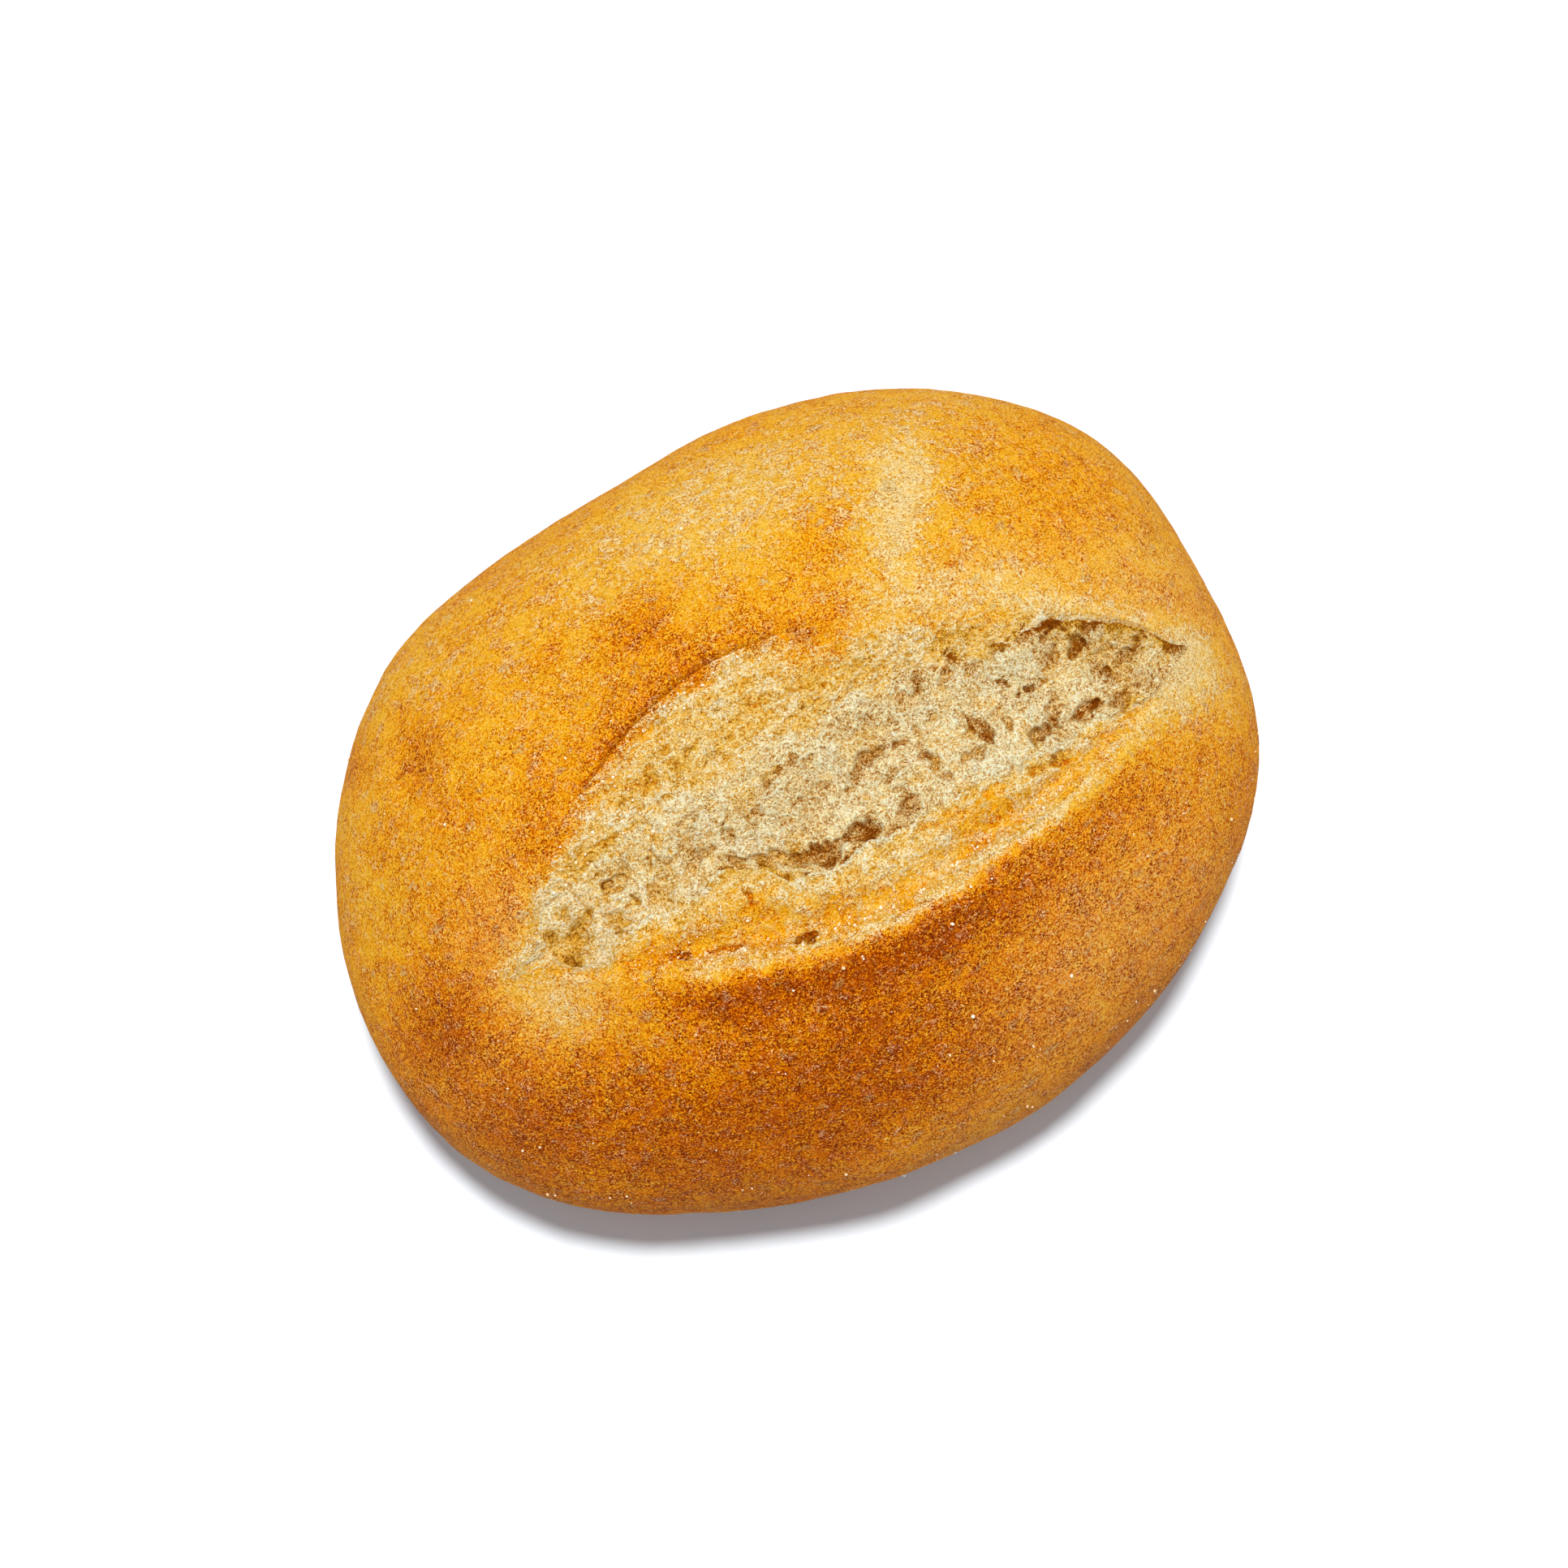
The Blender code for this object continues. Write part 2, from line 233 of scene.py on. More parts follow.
@dataclass(frozen=True)
class RollForm:
    """The roll without its split: a dome over an oval with slow swellings, and a rounded underside."""

    length: float = 108.0
    width: float = 85.0
    height: float = 52.0
    waist: float = 18.0
    underside: float = 22.0
    outline_power: float = 2.25
    dome_power: float = 0.95
    underside_power: float = 0.60
    outline_mean: float = 0.988
    # Waves round the roll, share of the radius, direction of a crest in degrees
    swellings: tuple = (
        (1, 0.026, 54),
        (3, 0.0115, 39),
        (4, 0.009, 22),
        (5, 0.008, -24),
        (6, 0.0036, 8),
        (7, 0.0027, -18),
    )
    # Place along and across, reach along and across, turn in degrees, depth
    dents: tuple = (
        (-35, 22, 2.8, 5.0, -8, 0.7),
        (-40, 27, 3.0, 3.0, 0, 0.5),
        (26, 23, 8.0, 2.6, 47, 0.5),
        (-35, -7, 5.0, 4.0, 0, 0.8),
        (-6, 23, 6.0, 4.0, 0, -0.6),
        (-24, -24, 9.0, 5.0, 20, -0.7),
    )
    # Length, height, direction and phase in degrees of the slow waves that cross the body
    waves: tuple = (
        (41, 0.22, (0.8, 0.5, 0.3), 150),
        (29, 0.16, (-0.4, 0.9, 0.5), 10),
        (23, 0.14, (0.6, -0.6, 0.9), -40),
        (17, 0.09, (-0.9, -0.2, 0.6), 205),
    )

    def outline(self, angle: Array) -> Array:
        """Distance of the widest ring from the middle: a superellipse swollen by a few cosines."""
        power = self.outline_power
        along = (np.abs(np.cos(angle)) / (self.length / 2)) ** power
        across = (np.abs(np.sin(angle)) / (self.width / 2)) ** power
        swelling = self.outline_mean
        for waves, share, crest in self.swellings:
            swelling = swelling + share * np.cos(waves * (angle - math.radians(crest)))
        return (along + across) ** (-1 / power) * swelling

    def body(self, ball: Array) -> Array:
        """Carries points of the unit ball to the plain roll.

        The distance from the upright axis goes to the outline times level^p, and the height to rise times
        height^p, with one power for the dome and another for the underside.

        Args:
            ball: Points of the unit ball.

        Returns:
            Points of the plain roll.
        """
        angle = np.arctan2(ball[..., 1] * self.width, ball[..., 0] * self.length)
        above = ball[..., 2] >= 0
        power = np.where(above, self.dome_power, self.underside_power)
        radius = self.outline(angle) * np.hypot(ball[..., 0], ball[..., 1]) ** power
        rise = np.where(above, self.height - self.waist, -self.underside) * np.abs(ball[..., 2]) ** power
        return np.stack((radius * np.cos(angle), radius * np.sin(angle), self.waist + rise), axis=-1)

    def dome(self, x: Array, y: Array) -> Array:
        """Points of the dome over places in the plan, which is body() solved for its height.

        Args:
            x: Places along the roll.
            y: Places across it.

        Returns:
            Points of the plain dome.
        """
        share = np.hypot(x, y) / self.outline(np.arctan2(y, x))
        level = np.clip(share, 0, 1) ** (1 / self.dome_power)
        height = np.sqrt(1 - level**2) ** self.dome_power
        return np.stack((x, y, self.waist + (self.height - self.waist) * height), axis=-1)

    def outward(self, points: Array) -> Array:
        """Unit directions that leave the body: the normals of an egg of the same size."""
        away = points - np.array((0, 0, self.waist))
        away = away / np.array((self.length / 2, self.width / 2, self.height - self.waist)) ** 2
        return away / np.linalg.norm(away, axis=-1, keepdims=True)

    def top(self, points: Array) -> Array:
        """0 at the waist and below, and 1 on the dome, where dents and the split lie."""
        return smooth(self.waist, self.waist + 8, points[..., 2])

    def relief(self, points: Array) -> Array:
        """Height of the crust over the plain body: four waves, less a bell curve for each dent."""
        height = np.zeros(points.shape[:-1])
        for length, rise, direction, phase in self.waves:
            along = points @ np.array(direction) / np.linalg.norm(direction)
            height += rise * np.sin(2 * math.pi * along / length + math.radians(phase))
        for *spot, depth in self.dents:
            height -= self.top(points) * depth * bell(points, *spot)
        return height

    def skin(self, points: Array) -> Array:
        """Fine height of the baked skin: hills of 9 mm and less, and low blisters."""
        hilly = 0.13 * hills(points, 9, 11, 2) + 0.05 * hills(points, 2.3, 13, 2)
        return hilly + 0.03 * hills(points, 0.9, 16)

    def lifted(self, plain: Array, lift: Array) -> Array:
        """The roll's surface: plain points moved out by all relief, and up by the split's own height."""
        out = self.outward(plain) * (self.relief(plain) + self.skin(plain))[..., None]
        return plain + out + np.stack((0 * lift, 0 * lift, lift), axis=-1)


@dataclass(frozen=True)
class Split:
    """The split's lines in the plan, each a bowed arc on the chord between the tips, and its heights."""

    left_tip: tuple = (-37, -3.5)
    right_tip: tuple = (46, -7)
    upper_lip_bow: tuple = (19.6, 0.434)
    lower_lip_bow: tuple = (-12.4, 0.506)
    tear_top_bow: tuple = (9.4, 0.56)
    # Length and height of the waves in the lips and of the scallops in the torn edges
    upper_lip_waves: tuple = ((13, 0.4), (4, 0.14))
    lower_lip_waves: tuple = ((15, 0.5), (5, 0.2))
    tear_top_scallops: tuple = ((8, 1.2), (3.6, 1.1), (1.6, 0.6), (0.6, 0.25))
    tear_foot_scallops: tuple = ((7, 1.2), (3, 0.9), (1.4, 0.5), (0.6, 0.25))
    # Place along, reach and height of bell curves that shift the torn top edge
    tear_top_shifts: tuple = (
        (-29, 5, 1.7),
        (-1, 8, -2.3),
        (16, 4, 0.7),
        (36, 7, 1.7),
    )
    # The same for the torn foot
    tear_foot_shifts: tuple = (
        (33, 5, 1.7),
        (-12, 4, 0.9),
        (-4, 3, -1.2),
        (-29, 3.5, -1.3),
    )
    tear_pinch: tuple = (-33.5, -29)
    foot_near: float = -1.7
    foot_far: float = -4.4
    flap_end: tuple = (-11, -2)
    foot_tapers: tuple = (6, 9)
    opening_start: tuple = (0.02, 0.1)
    opening_end: tuple = (0.92, 1)
    upper_lip_drop: float = 1.3
    shelf_depth: float = 2.3
    # Where the upper shelf grows shallow towards the right, and the share of its depth that it loses
    shelf_shallows: tuple = (14, 34, 0.68)
    tear_depth: float = 3.9
    tear_end_depth: float = 2.2
    tear_shallows: tuple = (22, 46)
    foot_depth: float = 1.8
    ridge_depth: float = 1.1
    ridge_place: float = 0.35
    ridge_spread: float = 0.22
    crease_depth: float = 2.6
    # Rise and reach of the skin's own swelling up to the lower lip
    fillet: tuple = (1.6, 1.3)
    upper_swell: float = 1.1
    lower_swell: float = 0.9
    lip_reach: float = 5.5
    upper_span: tuple = (-27, -14, -2, 13)
    lower_span: tuple = (-30, -15, 22, 40)

    def chord(self, x: Array) -> tuple[Array, Array]:
        """The straight line from tip to tip, and the share of the way along it."""
        share = (x - self.left_tip[0]) / (self.right_tip[0] - self.left_tip[0])
        return self.left_tip[1] + share * (self.right_tip[1] - self.left_tip[1]), share

    def bowed(self, x: Array, bow: tuple[float, float]) -> Array:
        """An arc on the chord: bow times 1 - ((share - crest) / side)^2, which is 0 at both tips."""
        base, share = self.chord(x)
        side = np.where(share < bow[1], bow[1], 1 - bow[1])
        return base + bow[0] * np.clip(1 - ((share - bow[1]) / side) ** 2, 0, 1)

    def tapered(self, x: Array, left: float = 14, right: float = 14) -> Array:
        """1 along the split and 0 at its tips: a larger number makes a shorter slope at that tip."""
        share = self.chord(x)[1]
        return np.clip(left * share, 0, 1) * np.clip(right * (1 - share), 0, 1)

    def wander(self, x: Array, seed: int, waves: tuple, scalloped: bool = False) -> Array:
        """How far a line strays from its arc, fading to the tips.

        Args:
            x: Places along the roll.
            seed: Picks the random numbers.
            waves: Length and height of each set of hills along X.
            scalloped: Makes them |hills|: the arcs with sharp cusps that bubbles leave in a torn edge.

        Returns:
            Distances across the roll.
        """
        stray = np.zeros_like(x)
        for number, (length, rise) in enumerate(waves):
            wave = hills(plan(x, 0 * x), length, seed + number)
            stray = stray + rise * (np.abs(wave) - 0.3 if scalloped else wave)
        return stray * self.tapered(x)

    def upper_lip(self, x: Array) -> Array:
        """The overhanging lip's edge."""
        return self.bowed(x, self.upper_lip_bow) + self.wander(x, 21, self.upper_lip_waves)

    def lower_lip(self, x: Array) -> Array:
        """The swollen lower lip's edge."""
        return self.bowed(x, self.lower_lip_bow) + self.wander(x, 31, self.lower_lip_waves)

    def lip_row(self, x: Array, side: int) -> Array:
        """A lip's line for the mesh's rows, which runs in to the pole past the tips, as rings shrink."""
        lip = self.upper_lip(x) if side > 0 else self.lower_lip(x)
        return lip * self.near_pole(x)

    def near_pole(self, x: Array) -> Array:
        """1 over most of the roll, and down to 0 at its ends."""
        ring = np.sqrt(np.clip(1 - (x / (FORM.length / 2)) ** 2, 0, 1))
        return np.clip(2.2 * ring, 0, 1)

    def tear_edges(self, x: Array) -> tuple[Array, Array]:
        """Where the shelves break off: smooth lines with scallops, pinched to a crack on the left.

        Args:
            x: Places along the roll.

        Returns:
            The upper and the lower shelf's torn edge, as places across the roll.
        """
        base, share = self.chord(x)
        line = shifted(self.bowed(x, self.tear_top_bow), x, self.tear_top_shifts)
        line = base + (line - base) * np.clip(16 * (1 - share), 0, 1)
        top = line + self.wander(x, 41, self.tear_top_scallops, scalloped=True)
        foot = self.smooth_foot(x) - self.wander(x, 51, self.tear_foot_scallops, scalloped=True)
        wide = 0.12 + 0.88 * smooth(*self.tear_pinch, x)
        half = np.maximum(top - foot, 0.3) / 2 * wide
        return (top + foot) / 2 + half, (top + foot) / 2 - half

    def tear_top(self, x: Array) -> Array:
        """Where the upper shelf breaks off over the torn crumb."""
        return self.tear_edges(x)[0]

    def tear_foot(self, x: Array) -> Array:
        """Where the lower shelf breaks off."""
        return self.tear_edges(x)[1]

    def smooth_foot(self, x: Array) -> Array:
        """The torn foot's smooth line: it steps outwards where the flap of crust ends."""
        reach = self.foot_near + (self.foot_far - self.foot_near) * smooth(*self.flap_end, x)
        reach = shifted(reach, x, self.tear_foot_shifts)
        return self.chord(x)[0] + reach * self.tapered(x, *self.foot_tapers)

    def beside_tear(self, x: Array, y: Array, reach: float) -> Array:
        """1 at the torn edges, and a bell curve of the distance outside them."""
        top, foot = self.tear_edges(x)
        away = np.maximum(np.maximum(y - top, foot - y), 0)
        past = np.maximum(np.maximum(self.left_tip[0] + 1 - x, x - self.right_tip[0] + 1), 0)
        return falloff(np.hypot(away, past), reach)

    def opening(self, x: Array) -> Array:
        """1 along the split, fading to 0 at its tips."""
        share = self.chord(x)[1]
        return smooth(*self.opening_start, share) * (1 - smooth(*self.opening_end, share))

    def softness(self, x: Array) -> Array:
        """1 on the left, where the upper shelf frays into the crumb without an edge, and 0 on the right."""
        return 1 - smooth(-4, 12, x)

    def full(self, x: Array, limits: tuple) -> Array:
        """1 along the middle of a lip, fading to 0 at its ends."""
        start, whole, fade, end = limits
        return smooth(start, whole, x) * (1 - smooth(fade, end, x))

    def swell(self, x: Array, y: Array) -> Array:
        """The lips' swelling: a bell curve of the distance outside each lip."""
        above, below = y - self.upper_lip(x), self.lower_lip(x) - y
        upper = self.upper_swell * self.full(x, self.upper_span) * falloff(above, self.lip_reach)
        lower = self.lower_swell * self.full(x, self.lower_span) * falloff(below, self.lip_reach)
        return upper * (above >= 0) + lower * (below >= 0)

    def shelf_fall(self, x: Array) -> Array:
        """Depth of the upper shelf's torn edge, which is less towards the right."""
        start, end, lost = self.shelf_shallows
        return self.shelf_depth * (1 - lost * smooth(start, end, x))

    def upper_shelf(self, x: Array, y: Array) -> Array:
        """Height of the upper shelf over the plain dome: a straight slope from the lip down to the tear."""
        lip, tear = self.upper_lip(x), self.tear_top(x)
        drop = self.upper_lip_drop * self.full(x, self.upper_span)
        share = np.clip((lip - y) / np.maximum(lip - tear, 0.2), 0, 1)
        return -self.opening(x) * (drop + share * (self.shelf_fall(x) - drop))

    def lower_shelf(self, x: Array, y: Array) -> Array:
        """Height of the lower shelf: from the tear over a soft ridge into a trough, and up to the lip."""
        lip, foot = self.lower_lip(x), self.tear_foot(x)
        share = np.clip((foot - y) / np.maximum(foot - lip, 0.2), 0, 1)
        full = self.full(x, self.lower_span)
        slope = self.foot_depth + (self.crease_depth * full - self.foot_depth) * share
        ridge = (self.foot_depth - self.ridge_depth) * falloff(share - self.ridge_place, self.ridge_spread)
        fillet = self.fillet[0] * full * falloff(np.maximum(y - lip, 0), self.fillet[1])
        return -self.opening(x) * (slope - ridge - fillet)

    def tear_floor(self, x: Array, y: Array) -> Array:
        """Height of the torn trough: deep at its foot, and rising softly to the upper shelf on the left."""
        top, foot = self.tear_top(x), self.tear_foot(x)
        share = np.clip((y - foot) / np.maximum(top - foot, 0.2), 0, 1)
        depth = self.tear_depth + (self.tear_end_depth - self.tear_depth) * smooth(*self.tear_shallows, x)
        soft = self.softness(x)
        slope = soft * smooth(0.3, 1, share) + (1 - soft) * 0.9 * smooth(0.55, 1, share)
        rise = (depth - self.shelf_fall(x)) * slope + 0.7 * smooth(0.22, 0, share)
        return -self.opening(x) * (depth - rise)


FORM = RollForm()
SPLIT = Split()


def plain_rings(columns: int) -> Array:
    """Ball heights of the rings along X: -cos of equal steps of angle, without the poles."""
    return -np.cos((np.arange(columns) + 0.5) * math.pi / columns)


def on_ring(ball_x: Array, turn: Array) -> Array:
    """Points of the plain roll on rings about X, which on the ball are (x, r sin turn, r cos turn)."""
    ring = np.sqrt(1 - ball_x**2)
    ball = np.stack((ball_x + 0 * turn, ring * np.sin(turn), ring * np.cos(turn)), axis=-1)
    return FORM.body(ball)


def placed(points: Array) -> Array:
    """Takes points from the form's own plan, in millimetres, to the frame, in metres.

    The frame's origin is under the middle of the CAD node's box.
    """
    return points * MM + ROLL_SHIFT


def form_shift() -> Array:
    """How far the form's middle lies from the middle of the CAD node's box, in metres."""
    steps = 200
    turns = np.linspace(-math.pi, math.pi, steps)[:, None]
    plain = on_ring(plain_rings(steps)[None, :], turns)
    shape = FORM.lifted(plain, SPLIT.swell(plain[..., 0], plain[..., 1]) * FORM.top(plain)).reshape(-1, 3)
    shift = (np.array(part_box(NODE)).sum(axis=0) - (shape.min(axis=0) + shape.max(axis=0)) * MM) / 2
    shift[2] = 0
    return shift


ROLL_SHIFT = form_shift()


def piece_of(
    name: str, points: Array, faces: tuple[Array, ...], fields: dict[str, Array], sharp: float = 180.0
) -> bpy.types.Object:
    """A smooth piece in the frame, riding on the roll's body in place of its CAD node.

    Args:
        name: Name of the piece.
        points: Its points in metres.
        faces: Point numbers by face, outwards, in arrays of faces with as many corners.
        fields: A number for each point, by attribute name.
        sharp: Angle in degrees past which an edge is shaded sharp.

    Returns:
        The piece, with its attributes set.
    """
    corners = np.concatenate([group.ravel() for group in faces])
    sizes = np.concatenate([np.full(len(group), group.shape[1]) for group in faces])
    mesh = bpy.data.meshes.new(name)
    mesh.vertices.add(len(points))
    mesh.vertices.foreach_set("co", points.ravel())
    mesh.loops.add(len(corners))
    mesh.loops.foreach_set("vertex_index", corners)
    mesh.polygons.add(len(sizes))
    mesh.polygons.foreach_set("loop_start", np.cumsum(sizes) - sizes)
    mesh.update(calc_edges=True)
    mesh.validate()
    mesh.shade_smooth()
    mesh.set_sharp_from_angle(angle=math.radians(sharp))
    for field, values in fields.items():
        attribute = mesh.attributes.new(field, "FLOAT", "POINT")
        attribute.data.foreach_set("value", values.astype(np.float32))
    piece = bpy.data.objects.new(name, mesh)
    bpy.context.scene.collection.objects.link(piece)
    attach(piece, BODY)
    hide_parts(NODE)
    return piece


def tube_piece(name: str, grid: Array, fields: dict[str, Array], sharp: float) -> bpy.types.Object:
    """A closed piece from rings of points: its quads join neighbours, and a fan of triangles closes each end.

    Args:
        name: Name of the piece.
        grid: Points in metres as (rows round a ring, columns along the piece, 3). The rows wrap round.
        fields: Numbers for each point, by attribute name, of the grid's first two sizes.
        sharp: Angle in degrees past which an edge is shaded sharp.

    Returns:
        The piece, with its faces outwards.
    """
    rows, columns = grid.shape[:2]
    index = np.arange(rows * columns).reshape(rows, columns)
    following = np.roll(index, -1, axis=0)
    quads = np.stack((index[:, :-1], following[:, :-1], following[:, 1:], index[:, 1:]), axis=-1)
    quads = quads.reshape(-1, 4)
    first, last = rows * columns, rows * columns + 1
    start = np.stack((following[:, 0], index[:, 0], np.full(rows, first)), axis=-1)
    end = np.stack((index[:, -1], following[:, -1], np.full(rows, last)), axis=-1)
    fans = np.concatenate((start, end))
    points = np.concatenate((grid.reshape(-1, 3), grid[:, [0, -1]].mean(axis=0)))
    corners = points[quads]
    facing = np.cross(corners[:, 2] - corners[:, 0], corners[:, 3] - corners[:, 1])
    if np.einsum("ij,ij->", corners.mean(axis=1), facing) < 0:
        quads, fans = quads[:, ::-1], fans[:, ::-1]
    whole = {
        field: np.concatenate((values.ravel(), values[:, [0, -1]].mean(axis=0)))
        for field, values in fields.items()
    }
    return piece_of(name, points, (quads, fans), whole, sharp)


@dataclass(frozen=True)
class Browning:
    """How brown the oven has baked each place: 0 is pale dough, and 1 dark brown crust."""

    upper_side: float = 0.40
    lower_side: float = 0.80
    wall: float = 0.60
    heel: float = 0.80
    # Place along and across, reach along and across, turn in degrees, change
    patches: tuple = (
        (8, 31, 20, 9, -5, -0.18),
        (25, 21, 9, 3.4, 50, -0.3),
        (27, 8, 13, 5, -17, -0.16),
        (14, 21, 5, 5, 0, 0.10),
        (-7, 22, 5, 3.2, 10, 0.32),
        (-16, 25, 2.6, 1.5, 20, 0.20),
        (-34, 23, 2.6, 5, -8, 0.26),
        (-40, 27, 3, 3.5, 0, 0.20),
        (-30, 31, 7, 5, 0, -0.04),
        (41, 13, 9, 8, 30, 0.09),
        (46, 25, 7, 8, -40, 0.06),
        (-30, 13, 12, 9, 0, 0.10),
        (-25, 8.5, 5, 3, 38, 0.18),
        (-46, -3, 5.5, 7, 0, 0.31),
        (-36, 0, 5, 6, 10, 0.13),
        (-34, -9, 5, 4, -20, -0.30),
        (-29, -14, 7, 2.6, -38, -0.22),
        (-43, -17, 6, 4, -50, 0.20),
        (-31, -25, 11, 6, -25, 0.10),
        (-12, -31, 13, 6, -8, 0.22),
        (0, -42, 18, 5, 0, -0.2),
        (10, 43, 40, 7, 0, 0.14),
        (15, -31, 10, 6, 0, -0.15),
        (33, -26, 15, 9, 25, -0.20),
        (45, -13, 8, 8, 0, -0.34),
        (43, 1, 8, 5, 0, -0.04),
        (-33, -1.4, 3, 1.5, 20, -0.14),
        (36, -13, 8, 3, 20, -0.14),
        (18.7, 14.2, 0.9, 0.35, 60, 0.4),
        (26.1, 11.9, 0.6, 0.35, 0, 0.3),
        (43.3, 3.7, 0.35, 0.35, 0, 0.4),
        (12.5, 13.0, 2.4, 0.45, 22, 0.22),
        (2, 14.8, 5, 1.3, 0, -0.14),
    )
    flour_all: float = 0.03
    # Place along and across, reach along and across, turn in degrees, share of flour
    flour: tuple = (
        (22, -31, 17, 8, 15, 0.42),
        (-2, -42, 16, 5, 0, 0.14),
        (44, -4, 8, 10, 0, 0.36),
        (-34, 1, 5, 6, 0, 0.34),
        (-33, -8, 5, 3.5, -30, 0.44),
        (26, 9, 12, 4, -17, 0.3),
        (-46, -14, 8, 12, 0, 0.16),
    )
    # Start, full, fade and end of the dark bands along the upper and the lower lip
    upper_band: tuple = (-24, -15, 4, 15)
    lower_band: tuple = (-27, -17, 4, 20)

    def at(self, points: Array) -> Array:
        """The browning of places on the roll.

        It blends from one side of the top to the other, adds the patches and the dark bands above the upper
        lip and below the lower one, pales the lower lip's crest and the torn edges, and goes over to the
        wall's and the heel's browning lower down.

        Args:
            points: Places on the roll, in the form's own plan.

        Returns:
            Numbers from 0 to a little over 1.
        """
        x, y, z = points[..., 0], points[..., 1], points[..., 2]
        top = self.lower_side + (self.upper_side - self.lower_side) * smooth(-24, 14, y)
        top = painted(top, points, self.patches)
        above, below = y - SPLIT.upper_lip(x), SPLIT.lower_lip(x) - y
        stray = 0.5 * hills(plan(x, y), 3, 65, 2)
        band = 0.14 * falloff(above, 5) + 0.24 * falloff(above + stray, 1.6)
        top = top + (above > -1.5) * SPLIT.full(x, self.upper_band) * band
        band = 0.3 * falloff(below - 4 + stray, 2.1)
        top = top + (below > 0) * SPLIT.full(x, self.lower_band) * band
        broken = 0.85 + 0.3 * hills(plan(x, y), 1.6, 67, 2)
        crest = SPLIT.full(x, SPLIT.lower_span) * broken * falloff(below - 0.7 + 0.7 * stray, 1.5)
        top = top - 0.56 * crest - 0.3 * SPLIT.beside_tear(x, y, 3.6)
        blend = smooth(FORM.waist - 4, FORM.waist + 14, z)
        side = self.wall + 0.5 * (top - 0.5) + 0.12 * hills(points, 17, 61, 2)
        baked = side + (top - side) * blend
        rim = smooth(6, 1, z)
        return baked + (self.heel - baked) * rim

    def crest(self, x: Array, y: Array) -> Array:
        """Where skin is stretched thin over the lower lip's crest: 1 on its line, and 0 a millimetre away."""
        away = SPLIT.lower_lip(x) - y + 0.3 * hills(plan(x, y), 1.5, 68, 2)
        full = SPLIT.full(x, SPLIT.lower_span) * (0.5 + 0.5 * smooth(-12, 8, x))
        return full * falloff(away - 0.25, 0.75)

    def floury(self, points: Array) -> Array:
        """Share of the skin that dry flour dulls: most on the flank below the split."""
        flour = painted(np.full(points.shape[:-1], self.flour_all), points, self.flour)
        return np.clip(flour + 0.2 * hills(points, 5, 63, 2) * flour, 0, 1)


BROWNING = Browning()


@dataclass(frozen=True)
class Tree:
    """A material's nodes, with the one helper that adds a node."""

    nodes: bpy.types.NodeTree

    def add(
        self, kind: str, settings: dict | None = None, out: int | str = 0, **inputs: object
    ) -> Socket | None:
        """Adds a node with its settings, its plain values and its links.

        Args:
            kind: Blender's name of the node's type.
            settings: Attributes of the node. "stops" holds a colour ramp's places and hex colours.
            out: The output that is wanted, by number or name.
            inputs: Values or sockets by input name, with _ for a space, or by "i" and the input's number.

        Returns:
            The wanted output, or None from a node without outputs.
        """
        node = self.nodes.nodes.new(kind)
        for key, value in (settings or {}).items():
            if key == "stops":
                spread(node.color_ramp, value)
            else:
                setattr(node, key, value)
        for key, value in inputs.items():
            number = key[1:].isdigit() and key[0] == "i"
            socket = node.inputs[int(key[1:])] if number else node.inputs[key.replace("_", " ")]
            if isinstance(value, Socket):
                self.nodes.links.new(value, socket)
            else:
                socket.default_value = value
        return node.outputs[out] if node.outputs else None


def bare_material(name: str) -> tuple[bpy.types.Material, Adder]:
    """A new material without nodes, and what adds nodes to it."""
    material = bpy.data.materials.new(name)
    material.use_nodes = True
    material.node_tree.nodes.clear()
    return material, Tree(material.node_tree).add


def spread(ramp: bpy.types.ColorRamp, stops: tuple) -> None:
    """Sets a colour ramp's stops from pairs of a place and a hex colour, with the last place at its end."""
    while len(ramp.elements) < len(stops):
        ramp.elements.new(0.5)
    for element, (position, code) in zip(ramp.elements, stops):
        element.position = position / stops[-1][0]
        element.color = linear(code)


MATH = "ShaderNodeMath"
NOISE = "ShaderNodeTexNoise"
CELLS = "ShaderNodeTexVoronoi"
FIELD = "ShaderNodeAttribute"
VECTOR = "ShaderNodeVectorMath"
RANGE = "ShaderNodeMapRange"
RAMP = "ShaderNodeValToRGB"
MIX = "ShaderNodeMix"
SPLIT_COLOUR = "ShaderNodeSeparateColor"
SHADER = "ShaderNodeBsdfPrincipled"
OUTPUT = "ShaderNodeOutputMaterial"
TIMES = {"operation": "MULTIPLY"}
PLUS = {"operation": "ADD"}
MINUS = {"operation": "SUBTRACT"}
SCALED = {"operation": "MULTIPLY_ADD"}
ABSOLUTE = {"operation": "ABSOLUTE"}
CLAMPED = {"operation": "MULTIPLY_ADD", "use_clamp": True}
COLOURS = {"data_type": "RGBA"}


@dataclass(frozen=True)
class Patterns:
    """The dough's patterns as sockets that run from 0 to 1."""

    slow: Socket
    mottled: Socket
    blotch: Socket
    level: Socket
    grainy: Socket
    flecked: Socket
    flakes: Socket
    cracks: Socket
    blisters: Socket
    rims: Socket


